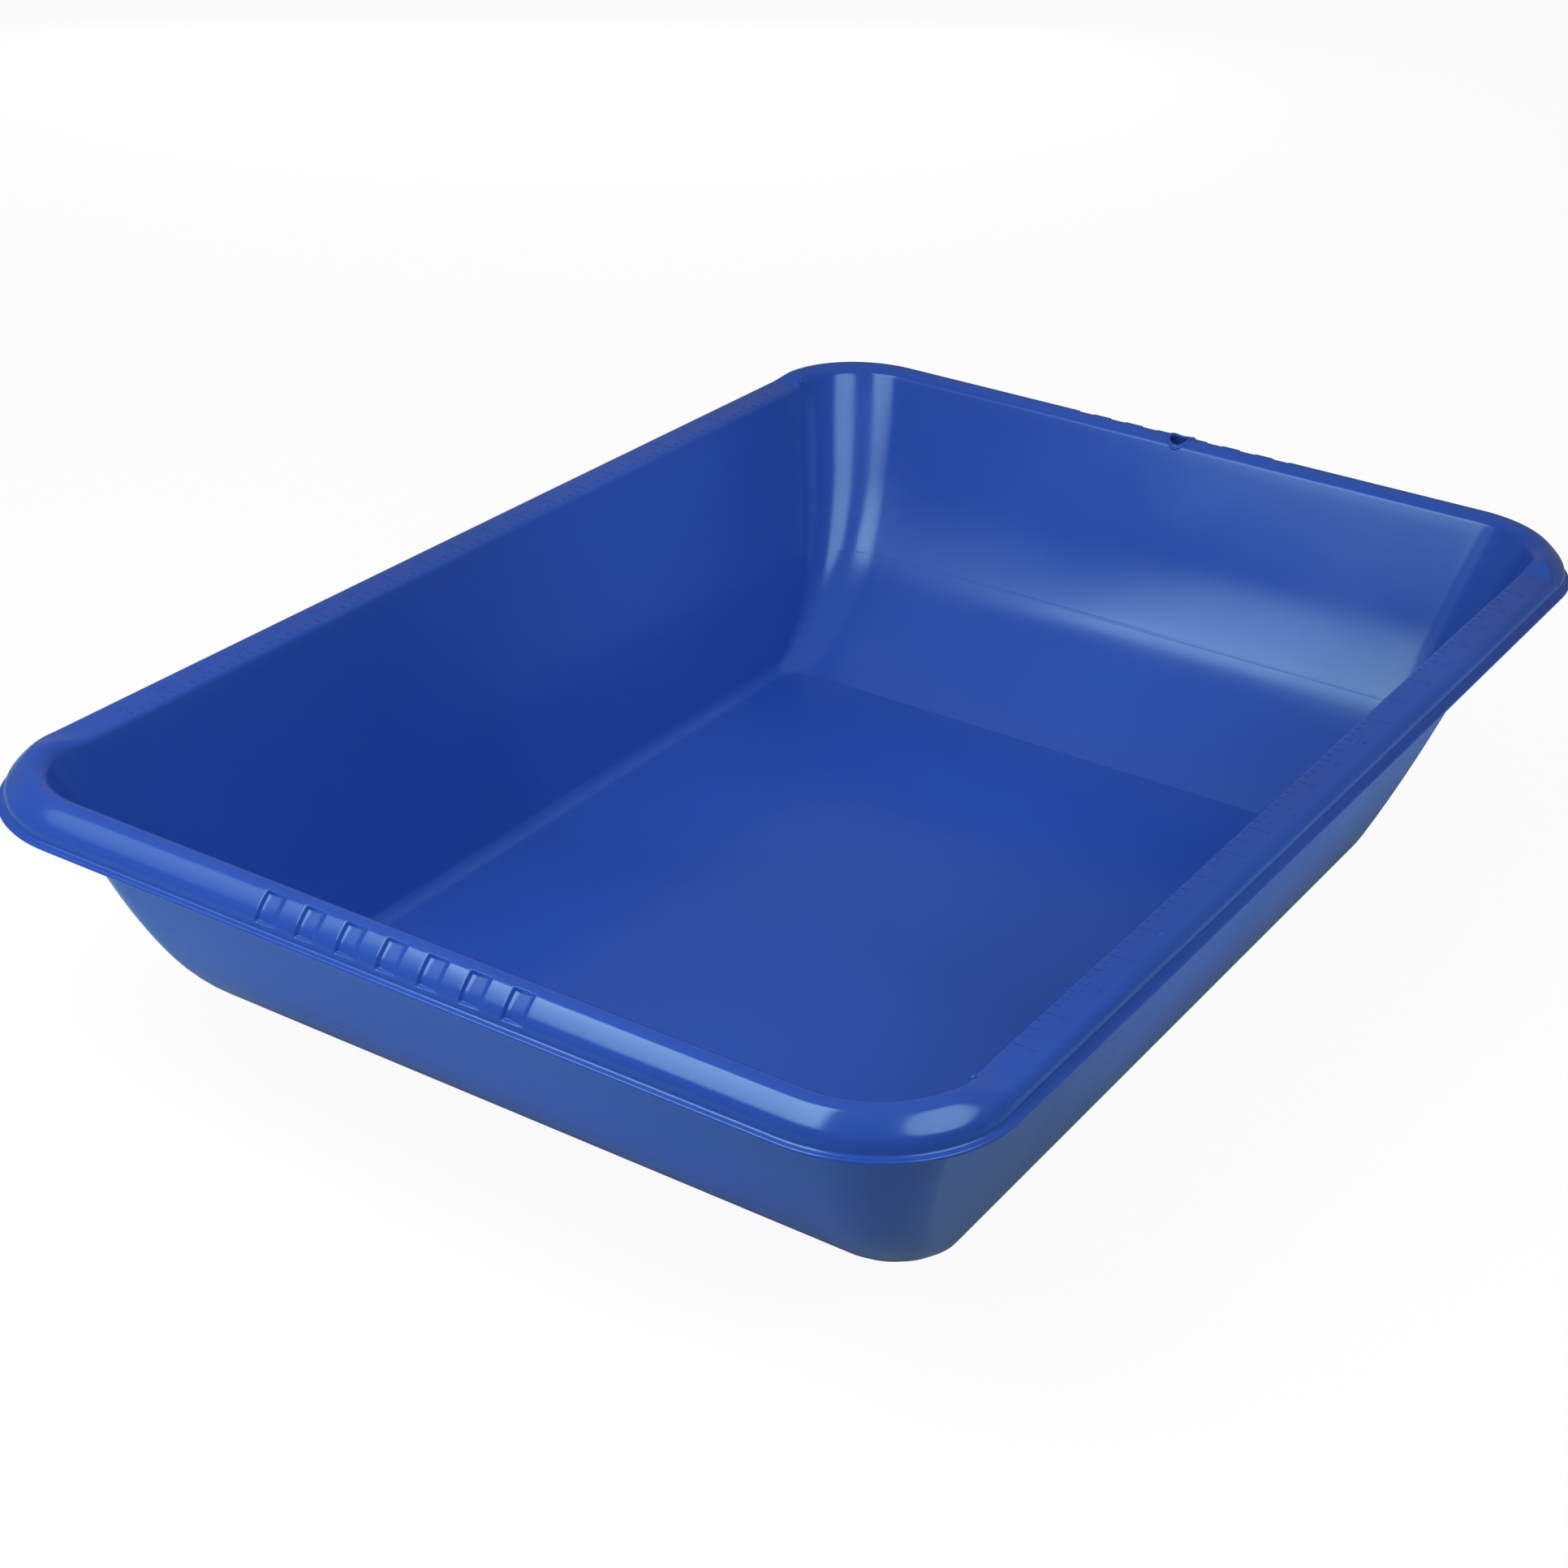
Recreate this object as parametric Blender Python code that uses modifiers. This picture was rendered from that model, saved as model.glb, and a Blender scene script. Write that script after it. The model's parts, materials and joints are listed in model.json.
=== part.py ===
"""Open rectangular utility tub: one blue plastic moulding, built as the named sections of its shell."""
import math

import bmesh
import bpy
from mathutils import Matrix, Vector

# Overall sizes, in metres: +Z up, +Y along the tub towards the hang hole, origin under the middle of the floor
LENGTH = 0.6964
WIDTH = 0.472
HEIGHT = 0.1464
WALL = 0.0025

# Rolled rim: a bead whose outer side runs on as a sloping flank, a shoulder down to the skirt and a lip turned out
LIP_CORNER_RADIUS = 0.0625
RIM_RISE = 0.0159
BEAD_RADIUS = 0.0085
BEAD_INSET = 0.0139
CROWN_RADIUS = 0.0066
FLANK_TURN = 45
SHOULDER_RADIUS = 0.0084
LIP_REACH = 0.0029
LIP_THICKNESS = 0.0022
LIP_EDGE_ROUND = 0.0008

# Body: sloping sides with a tight bend to the floor, and ends that sweep up from a crease at the floor's end
SIDE_SLOPE = 0.302
END_SLOPE = 0.446
SIDE_BEND = 0.011
END_SWEEP = 0.136
SWEEP_SINK = 0.005
FLOOR_CORNER_RADIUS = 0.0195
FLOOR_MARGIN = 0.012
LEVEL_GAP = 0.001

# Measuring scale: a flat land on each long rim with raised marks, in inches
INCH = 0.0254
LAND_DROP = 0.0049
LAND_EDGE_ROUND = 0.0048
SCALE_MARGIN = 0.0295
MARK_WIDTH = 0.0009
MARK_HEIGHT = 0.0005
MARK_ROOT = 0.0007
INCH_MARK = 0.0051
HALF_MARK = 0.0038
MARK_SETBACK = 0.0004

# Finger grips: curved pockets on the outer side of the bead, with the hang hole amid those of the far end
GRIP_COUNT = 7
GRIP_PITCH = 0.0196
GRIP_LENGTH = 0.0102
GRIP_DEPTH = 0.0013
GRIP_INNER_TURN = 25
GRIP_OUTER_TURN = 83
GRIP_MARGIN = 0.006
HOLE_DIAMETER = 0.0095
COLLAR_DIAMETER = 0.013
COLLAR_RISE = 0.0012

CROWN_STEPS = 6
CORNER_STEPS = 10
BEND_STEPS = 5
SWEEP_STEPS = 9

# Sizes that follow from the ones above
BEAD_Z = HEIGHT - BEAD_RADIUS
LIP_Z = HEIGHT - RIM_RISE
LAND_Z = HEIGHT - LAND_DROP
HOLLOW_RADIUS = BEAD_RADIUS - WALL
CROWN_Z = HEIGHT - CROWN_RADIUS
SHOULDER_INSET = LIP_REACH + SHOULDER_RADIUS
FLANK = math.radians(FLANK_TURN)
FLANK_SHIFT = CROWN_RADIUS - SHOULDER_RADIUS + (SHOULDER_INSET - BEAD_INSET) * math.sin(FLANK)
SHOULDER_Z = CROWN_Z + FLANK_SHIFT / math.cos(FLANK)
LAND_EDGE = LIP_REACH + LAND_EDGE_ROUND
WALL_INSET = BEAD_INSET + HOLLOW_RADIUS
HALF_X = WIDTH / 2
HALF_Y = LENGTH / 2
CORNER_X = HALF_X - LIP_CORNER_RADIUS
CORNER_Y = HALF_Y - LIP_CORNER_RADIUS
WALL_TOP_X = HALF_X - WALL_INSET
WALL_TOP_Y = HALF_Y - WALL_INSET
WALL_TOP_RADIUS = LIP_CORNER_RADIUS - WALL_INSET
GRIP_START = -(GRIP_PITCH * (GRIP_COUNT - 1) + GRIP_LENGTH) / 2
GRIP_HALF = GRIP_MARGIN - GRIP_START
HANG_HALF = GRIP_PITCH / 2
SCALE_START = SCALE_MARGIN - CORNER_Y
SCALE_INCHES = int((2 * CORNER_Y - 2 * SCALE_MARGIN) / INCH)

PLASTIC = (0.030, 0.105, 0.400, 1.0)


class WallProfile:
    """Half size of the body against height: a straight slope that bends down to the floor.

    The bend's circle runs on under the floor by the sink, so a sink above zero leaves a crease there.
    """

    def __init__(self, top, slope, bend, floor_z, sink):
        lean = math.atan(slope)
        self.top = top
        self.slope = slope
        self.bend = bend
        self.centre_z = floor_z - sink + bend
        self.first_turn = math.acos((bend - sink) / bend)
        self.last_turn = math.pi / 2 - lean
        self.bend_top = self.centre_z - bend * math.sin(lean)
        self.centre = top - slope * (BEAD_Z - self.bend_top) - bend * math.cos(lean)

    def half(self, z):
        if z >= self.bend_top:
            return self.top - self.slope * (BEAD_Z - z)
        rise = self.centre_z - z
        return self.centre + math.sqrt(max(self.bend ** 2 - rise ** 2, 0.0))

    def heights(self, steps):
        turns = [self.first_turn + (self.last_turn - self.first_turn) * k / steps for k in range(steps + 1)]
        return [self.centre_z - self.bend * math.cos(turn) for turn in turns]


def wall_profile(top, slope, bend, sink, inner):
    """The outer face of a wall, or the inner face one wall thickness inside it."""
    if inner:
        return WallProfile(top - WALL * math.hypot(1.0, slope), slope, bend - WALL, WALL, sink)
    return WallProfile(top, slope, bend, 0.0, sink)


SIDE = {inner: wall_profile(WALL_TOP_X, SIDE_SLOPE, SIDE_BEND, 0.0, inner) for inner in (False, True)}
END = {inner: wall_profile(WALL_TOP_Y, END_SLOPE, END_SWEEP, SWEEP_SINK, inner) for inner in (False, True)}
FLOOR_X = SIDE[False].half(0.0) - FLOOR_CORNER_RADIUS - FLOOR_MARGIN
FLOOR_Y = END[False].half(0.0) - FLOOR_CORNER_RADIUS - FLOOR_MARGIN


def level_heights(inner):
    """Heights of the rings of one face of the body, from the floor to the rim."""
    side = SIDE[inner].heights(BEND_STEPS)
    end = END[inner].heights(SWEEP_STEPS)
    return side + [z for z in end if z > side[-1] + LEVEL_GAP] + [BEAD_Z]


def corner_radius(z, inner):
    share = z / BEAD_Z
    outer = FLOOR_CORNER_RADIUS + (WALL_TOP_RADIUS - FLOOR_CORNER_RADIUS) * share
    return outer - WALL if inner else outer


def arc(middle, radius, first, last, steps):
    """Points on a circle in the rim's section; 0 degrees is the inner side and 180 the outer side."""
    points = []
    for k in range(steps + 1):
        turn = math.radians(first + (last - first) * k / steps)
        points.append((middle[0] + radius * math.cos(turn), middle[1] + radius * math.sin(turn)))
    return points


def bead_arc(radius, first, last, steps):
    """Points on the inner side of the bead, or of its hollow."""
    return arc((BEAD_INSET, BEAD_Z), radius, first, last, steps)


def outer_curve(depth, first, last):
    """The bead's outer side, sunk by a depth: round the crown, down the flank and round the shoulder to the skirt."""
    bend = 90 + FLANK_TURN
    crown = arc((BEAD_INSET, CROWN_Z), CROWN_RADIUS - depth, first, bend, CROWN_STEPS)
    return crown + arc((SHOULDER_INSET, SHOULDER_Z), SHOULDER_RADIUS - depth, bend, last, CROWN_STEPS)


def lip_outline():
    """The lip from the foot of the skirt round to the hollow's outer side."""
    return [
        (LIP_REACH, LIP_Z + LIP_THICKNESS),
        (LIP_EDGE_ROUND, LIP_Z + LIP_THICKNESS),
        (0.0, LIP_Z + LIP_THICKNESS - LIP_EDGE_ROUND),
        (0.0, LIP_Z),
        (LIP_REACH + WALL, LIP_Z),
    ]


def round_rim_outline():
    """Section of the rim where its bead is whole, as (inset from the lip's edge, height)."""
    outside = bead_arc(BEAD_RADIUS, 0, 90, CROWN_STEPS) + outer_curve(0.0, 90, 180)[1:]
    hollow = bead_arc(HOLLOW_RADIUS, 0, 90, CROWN_STEPS) + outer_curve(WALL, 90, 180)[1:]
    return outside + lip_outline() + hollow[::-1]


def land_turns():
    """Angles on the bead and in its hollow where the flat land cuts them."""
    outer = math.degrees(math.asin((LAND_Z - BEAD_Z) / BEAD_RADIUS))
    inner = math.degrees(math.asin((LAND_Z - WALL - BEAD_Z) / HOLLOW_RADIUS))
    return outer, inner


def land_outline():
    """Section of the flat land and the shoulder that joins it to the side wall."""
    outer, inner = land_turns()
    shoulder = bead_arc(BEAD_RADIUS, 0, outer, 4)
    hollow = bead_arc(HOLLOW_RADIUS, inner, 0, 3)
    return shoulder + [(LAND_EDGE, LAND_Z), (LAND_EDGE, LAND_Z - WALL)] + hollow


def skirt_outline():
    """Section of the skirt and lip outside the flat land."""
    middle = (LAND_EDGE, LAND_Z - LAND_EDGE_ROUND)
    edge = arc(middle, LAND_EDGE_ROUND, 90, 180, CROWN_STEPS)
    hollow = arc(middle, LAND_EDGE_ROUND - WALL, 180, 90, CROWN_STEPS)
    return edge + lip_outline() + hollow


def wall_outline(profile, floor_half):
    """Section of a wall from the edge of the floor panel up to the rim, as (half size, height)."""
    outer = [(profile[False].half(z), z) for z in level_heights(False)]
    inner = [(profile[True].half(z), z) for z in level_heights(True)]
    return [(floor_half, 0.0)] + outer + inner[::-1] + [(floor_half, WALL)]


def new_collection(name):
    made = bpy.data.collections.new(name)
    bpy.context.scene.collection.children.link(made)
    return made


def plastic(name):
    made = bpy.data.materials.new(name)
    made.use_nodes = True
    shader = made.node_tree.nodes["Principled BSDF"]
    shader.inputs["Base Color"].default_value = PLASTIC
    shader.inputs["Roughness"].default_value = 0.28
    shader.inputs["Metallic"].default_value = 0.0
    return made


def finish(item, smooth=True):
    """Gives a section its own material, its shading and its place under the tub's origin."""
    for holder in list(item.users_collection):
        holder.objects.unlink(item)
    PARTS.objects.link(item)
    item.data.materials.clear()
    item.data.materials.append(plastic(item.name))
    item.parent = ORIGIN
    if smooth and item.type == "MESH":
        item.data.shade_smooth()
        item.data.set_sharp_from_angle(angle=math.radians(32))
    return item


def face_outwards(shape):
    """Points every face of a closed shape out of it."""
    bmesh.ops.recalc_face_normals(shape, faces=shape.faces)
    if shape.calc_volume(signed=True) < 0.0:
        bmesh.ops.reverse_faces(shape, faces=shape.faces)


def mesh_object(name, shape):
    mesh = bpy.data.meshes.new(name)
    shape.to_mesh(mesh)
    shape.free()
    made = bpy.data.objects.new(name, mesh)
    bpy.context.scene.collection.objects.link(made)
    return made


def prism(name, outline, half_length, place):
    """A flat outline with thickness: its first axis and height are turned to the place's X and Z axes."""
    curve = bpy.data.curves.new(name, "CURVE")
    curve.dimensions = "2D"
    curve.fill_mode = "BOTH"
    curve.extrude = half_length
    spline = curve.splines.new("POLY")
    spline.points.add(len(outline) - 1)
    for point, (across, height) in zip(spline.points, outline):
        point.co = (across, height, 0.0, 1.0)
    spline.use_cyclic_u = True
    bar = bpy.data.objects.new(name + "_outline", curve)
    bpy.context.scene.collection.objects.link(bar)
    bpy.context.view_layer.update()
    seen = bar.evaluated_get(bpy.context.evaluated_depsgraph_get())
    mesh = bpy.data.meshes.new_from_object(seen)
    bpy.data.objects.remove(bar)
    shape = bmesh.new()
    shape.from_mesh(mesh)
    bpy.data.meshes.remove(mesh)
    bmesh.ops.remove_doubles(shape, verts=shape.verts, dist=0.00001)
    bmesh.ops.transform(shape, matrix=place, verts=shape.verts)
    face_outwards(shape)
    return mesh_object(name, shape)


def facing(across, along, origin):
    """Turns an outline upright: its first axis runs along one direction and its thickness along another."""
    up = Vector((0.0, 0.0, 1.0))
    turn = Matrix((across, up, along)).transposed().to_4x4()
    return Matrix.Translation(origin) @ turn


def end_bar(name, outline, sign, first, last):
    """A rim section along an end: near for sign -1, far for +1, between two places on X."""
    middle = Vector(((first + last) / 2, sign * HALF_Y, 0.0))
    place = facing(Vector((0.0, -sign, 0.0)), Vector((1.0, 0.0, 0.0)), middle)
    return prism(name, outline, (last - first) / 2, place)


def side_bar(name, outline, sign):
    """A rim section along a long side: left for sign -1, right for +1."""
    place = facing(Vector((-sign, 0.0, 0.0)), Vector((0.0, 1.0, 0.0)), Vector((sign * HALF_X, 0.0, 0.0)))
    return prism(name, outline, CORNER_Y, place)


def rim_corner(name, sign_x, sign_y):
    """The round rim turned a quarter round the corner's upright axis, with both ends closed."""
    profile = bmesh.new()
    corners = []
    for inset, height in round_rim_outline():
        corners.append(profile.verts.new((LIP_CORNER_RADIUS - inset, 0.0, height)))
    for k, corner in enumerate(corners):
        profile.edges.new((corner, corners[(k + 1) % len(corners)]))
    turned = mesh_object(name + "_profile", profile)
    screw = turned.modifiers.new("Quarter turn", "SCREW")
    screw.angle = math.pi / 2
    screw.steps = CORNER_STEPS
    screw.render_steps = CORNER_STEPS
    screw.merge_threshold = 0.0001
    screw.use_merge_vertices = False
    bpy.context.view_layer.update()
    seen = turned.evaluated_get(bpy.context.evaluated_depsgraph_get())
    mesh = bpy.data.meshes.new_from_object(seen)
    bpy.data.objects.remove(turned)
    shape = bmesh.new()
    shape.from_mesh(mesh)
    bpy.data.meshes.remove(mesh)
    bmesh.ops.remove_doubles(shape, verts=shape.verts, dist=0.00001)
    bmesh.ops.holes_fill(shape, edges=[edge for edge in shape.edges if edge.is_boundary], sides=0)
    for point in shape.verts:
        if abs(point.co.x) < 0.00001:
            point.co.x = 0.0
        point.co.x = sign_x * (CORNER_X + point.co.x)
        point.co.y = sign_y * (CORNER_Y + point.co.y)
    face_outwards(shape)
    return mesh_object(name, shape)


def body_corner(name, sign_x, sign_y):
    """The corner of the body, lofted from the sharp bend of the side to the long sweep of the end."""
    shape = bmesh.new()

    def ring(z, inner):
        half_x = SIDE[inner].half(z)
        half_y = END[inner].half(z)
        radius = corner_radius(z, inner)
        places = [(half_x, FLOOR_Y)]
        for k in range(CORNER_STEPS + 1):
            turn = math.pi / 2 * k / CORNER_STEPS
            places.append((half_x - radius + radius * math.cos(turn), half_y - radius + radius * math.sin(turn)))
        places.append((FLOOR_X, half_y))
        return [shape.verts.new((sign_x * x, sign_y * y, z)) for x, y in places]

    faces = {}
    for inner in (False, True):
        rings = [ring(z, inner) for z in level_heights(inner)]
        for low, high in zip(rings, rings[1:]):
            for k in range(len(low) - 1):
                shape.faces.new((low[k], low[k + 1], high[k + 1], high[k]))
        foot = shape.verts.new((sign_x * FLOOR_X, sign_y * FLOOR_Y, WALL if inner else 0.0))
        shape.faces.new([foot] + rings[0])
        faces[inner] = (rings, foot)
    (outer, outer_foot), (inner, inner_foot) = faces[False], faces[True]
    for k in range(len(outer[-1]) - 1):
        shape.faces.new((outer[-1][k], outer[-1][k + 1], inner[-1][k + 1], inner[-1][k]))
    for end in (0, -1):
        edge = [outer_foot] + [row[end] for row in outer] + [row[end] for row in inner[::-1]] + [inner_foot]
        shape.faces.new(edge)
    face_outwards(shape)
    return mesh_object(name, shape)


def cutter(item):
    for holder in list(item.users_collection):
        holder.objects.unlink(item)
    CUTTERS.objects.link(item)
    item.hide_render = True
    item.display_type = "WIRE"
    return item


def apply_boolean(item, other, operation):
    step = item.modifiers.new(other.name, "BOOLEAN")
    step.operation = operation
    step.object = other
    step.solver = "EXACT"


def block(name, size, place):
    shape = bmesh.new()
    bmesh.ops.create_cube(shape, size=1.0)
    bmesh.ops.scale(shape, vec=size, verts=shape.verts)
    bmesh.ops.transform(shape, matrix=place, verts=shape.verts)
    return mesh_object(name, shape)


def repeat(item, count, step):
    row = item.modifiers.new("Row", "ARRAY")
    row.count = count
    row.use_relative_offset = False
    row.use_constant_offset = True
    row.constant_offset_displace = step
    row.use_merge_vertices = False


def drum(name, diameter, low, high, place):
    shape = bmesh.new()
    lift = Matrix.Translation((place[0], place[1], (low + high) / 2))
    bmesh.ops.create_cone(shape, cap_ends=True, segments=24, radius1=diameter / 2, radius2=diameter / 2,
                          depth=high - low, matrix=lift)
    return mesh_object(name, shape)


def grip_cutter(name, sign, first, count):
    """A row of curved blocks that sink pockets of even depth into the outer side of an end's bead."""
    turns = (90 + GRIP_INNER_TURN, 90 + GRIP_OUTER_TURN)
    outline = outer_curve(GRIP_DEPTH, *turns) + outer_curve(-GRIP_DEPTH, *turns)[::-1]
    item = end_bar(name, outline, sign, first, first + GRIP_LENGTH)
    repeat(item, count, (GRIP_PITCH, 0.0, 0.0))
    return cutter(item)


def scale_marks(name, sign, length, first, pitch, count):
    """A row of raised marks at the inner edge of a land; the left scale is the right one turned half round."""
    outer, inner = land_turns()
    edge = HALF_X - bead_arc(BEAD_RADIUS, 0, outer, 4)[-1][0] + MARK_SETBACK
    size = Vector((length, MARK_WIDTH, MARK_HEIGHT + MARK_ROOT))
    middle = (sign * (edge + length / 2), sign * first, LAND_Z + (MARK_HEIGHT - MARK_ROOT) / 2)
    item = block(name, size, Matrix.Translation(middle))
    repeat(item, count, (0.0, sign * pitch, 0.0))
    return cutter(item)


for old in list(bpy.data.objects):
    bpy.data.objects.remove(old, do_unlink=True)

PARTS = new_collection("utility_tub")
CUTTERS = new_collection("utility_tub_cutters")
ORIGIN = bpy.data.objects.new("tub_origin", None)
PARTS.objects.link(ORIGIN)

# Floor and walls
floor = block("floor_panel", Vector((2 * FLOOR_X, 2 * FLOOR_Y, WALL)), Matrix.Translation((0.0, 0.0, WALL / 2)))
finish(floor, smooth=False)
for side_name, side_sign in (("left", -1), ("right", 1)):
    upright = facing(Vector((side_sign, 0.0, 0.0)), Vector((0.0, 1.0, 0.0)), Vector((0.0, 0.0, 0.0)))
    finish(prism("side_wall_" + side_name, wall_outline(SIDE, FLOOR_X), FLOOR_Y, upright))
for end_name, end_sign in (("near", -1), ("far", 1)):
    upright = facing(Vector((0.0, end_sign, 0.0)), Vector((1.0, 0.0, 0.0)), Vector((0.0, 0.0, 0.0)))
    finish(prism("end_wall_" + end_name, wall_outline(END, FLOOR_Y), FLOOR_X, upright))
    for side_name, side_sign in (("left", -1), ("right", 1)):
        finish(body_corner("wall_corner_" + end_name + "_" + side_name, side_sign, end_sign))
        finish(rim_corner("rim_corner_" + end_name + "_" + side_name, side_sign, end_sign))

# Long rims: the land with its scale, and the skirt and lip outside it
for side_name, side_sign in (("left", -1), ("right", 1)):
    land = side_bar("scale_land_" + side_name, land_outline(), side_sign)
    inches = scale_marks("inch_marks_" + side_name, side_sign, INCH_MARK, SCALE_START, INCH, SCALE_INCHES + 1)
    halves = scale_marks("half_marks_" + side_name, side_sign, HALF_MARK, SCALE_START + INCH / 2, INCH, SCALE_INCHES)
    apply_boolean(land, inches, "UNION")
    apply_boolean(land, halves, "UNION")
    finish(land)
    finish(side_bar("rim_skirt_" + side_name, skirt_outline(), side_sign))

# Near rim: plain, finger grips, plain
section = round_rim_outline()
finish(end_bar("near_rim_left", section, -1, -CORNER_X, -GRIP_HALF))
finish(end_bar("near_rim_right", section, -1, GRIP_HALF, CORNER_X))
near_grips = end_bar("near_rim_grips", section, -1, -GRIP_HALF, GRIP_HALF)
apply_boolean(near_grips, grip_cutter("near_grip_pockets", -1, GRIP_START, GRIP_COUNT), "DIFFERENCE")
finish(near_grips)

# Far rim: plain, grips, the hang hole with its collar, grips, plain
finish(end_bar("far_rim_left", section, 1, -CORNER_X, -GRIP_HALF))
finish(end_bar("far_rim_right", section, 1, GRIP_HALF, CORNER_X))
SIDE_GRIPS = GRIP_COUNT // 2
left_grips = end_bar("far_rim_grips_left", section, 1, -GRIP_HALF, -HANG_HALF)
apply_boolean(left_grips, grip_cutter("far_grip_pockets_left", 1, GRIP_START, SIDE_GRIPS), "DIFFERENCE")
finish(left_grips)
right_start = GRIP_START + (SIDE_GRIPS + 1) * GRIP_PITCH
right_grips = end_bar("far_rim_grips_right", section, 1, HANG_HALF, GRIP_HALF)
apply_boolean(right_grips, grip_cutter("far_grip_pockets_right", 1, right_start, SIDE_GRIPS), "DIFFERENCE")
finish(right_grips)
hang = end_bar("far_rim_hang_hole", section, 1, -HANG_HALF, HANG_HALF)
crown = (0.0, HALF_Y - BEAD_INSET)
collar = cutter(drum("hang_collar", COLLAR_DIAMETER, HEIGHT - 2 * WALL, HEIGHT + COLLAR_RISE, crown))
hole = cutter(drum("hang_drill", HOLE_DIAMETER, BEAD_Z, HEIGHT + BEAD_RADIUS, crown))
apply_boolean(hang, collar, "UNION")
apply_boolean(hang, hole, "DIFFERENCE")
finish(hang)
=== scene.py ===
import json
import math

import bmesh
import bpy
from bpy.props import FloatProperty, FloatVectorProperty, IntProperty, PointerProperty
from mathutils import Matrix, Vector

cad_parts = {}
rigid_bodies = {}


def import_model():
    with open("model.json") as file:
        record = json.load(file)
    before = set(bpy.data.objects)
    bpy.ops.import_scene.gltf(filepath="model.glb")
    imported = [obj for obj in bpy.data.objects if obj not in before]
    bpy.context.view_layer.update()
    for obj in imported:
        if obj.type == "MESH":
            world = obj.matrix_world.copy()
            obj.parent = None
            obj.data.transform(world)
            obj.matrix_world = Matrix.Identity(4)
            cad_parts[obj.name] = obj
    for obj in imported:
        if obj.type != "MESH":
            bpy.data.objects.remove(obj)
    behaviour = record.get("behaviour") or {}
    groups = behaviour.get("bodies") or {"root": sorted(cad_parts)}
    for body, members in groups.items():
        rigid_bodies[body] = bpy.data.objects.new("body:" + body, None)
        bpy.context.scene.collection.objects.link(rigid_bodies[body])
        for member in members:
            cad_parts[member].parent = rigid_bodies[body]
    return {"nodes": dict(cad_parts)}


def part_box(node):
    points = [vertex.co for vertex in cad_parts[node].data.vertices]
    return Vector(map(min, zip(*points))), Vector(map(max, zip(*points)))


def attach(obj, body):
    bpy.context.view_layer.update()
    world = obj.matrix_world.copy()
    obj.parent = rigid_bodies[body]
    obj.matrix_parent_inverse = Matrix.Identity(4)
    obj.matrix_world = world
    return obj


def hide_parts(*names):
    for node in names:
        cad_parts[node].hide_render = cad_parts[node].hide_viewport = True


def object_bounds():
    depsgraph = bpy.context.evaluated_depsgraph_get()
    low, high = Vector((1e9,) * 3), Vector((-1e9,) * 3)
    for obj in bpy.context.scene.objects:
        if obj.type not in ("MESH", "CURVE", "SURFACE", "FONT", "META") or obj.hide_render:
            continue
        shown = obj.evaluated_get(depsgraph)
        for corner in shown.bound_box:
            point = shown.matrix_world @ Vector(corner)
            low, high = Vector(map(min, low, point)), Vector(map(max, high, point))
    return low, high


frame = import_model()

bl_info = {
    "name": "Utility tub",
    "version": (1, 0, 0),
    "blender": (4, 5, 0),
    "location": "3D View > Sidebar > Tub",
    "description": "Builds a moulded blue tub with finger grips, a hang hole and inch scales over its packed frame",
    "category": "Object",
}

CAD_BOX = [list(corner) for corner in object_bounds()]
NODES = sorted(frame["nodes"])
BODY = "root"
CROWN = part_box("near_rim_left")[1].z
BOW_POWER = 8


def distance(label, about, default):
    return FloatProperty(name=label, description=about, default=default, unit="LENGTH", precision=5)


def factor(label, about, default):
    return FloatProperty(name=label, description=about, default=default, precision=4)


def power(label, about, default):
    return FloatProperty(name=label, description=about, default=default, unit="POWER")


def turned(label, about, degrees):
    return FloatProperty(name=label, description=about, default=math.radians(degrees), subtype="ANGLE")


def colour(label, about, default):
    return FloatVectorProperty(name=label, description=about, default=default, subtype="COLOR", min=0.0, max=1.0)


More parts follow.
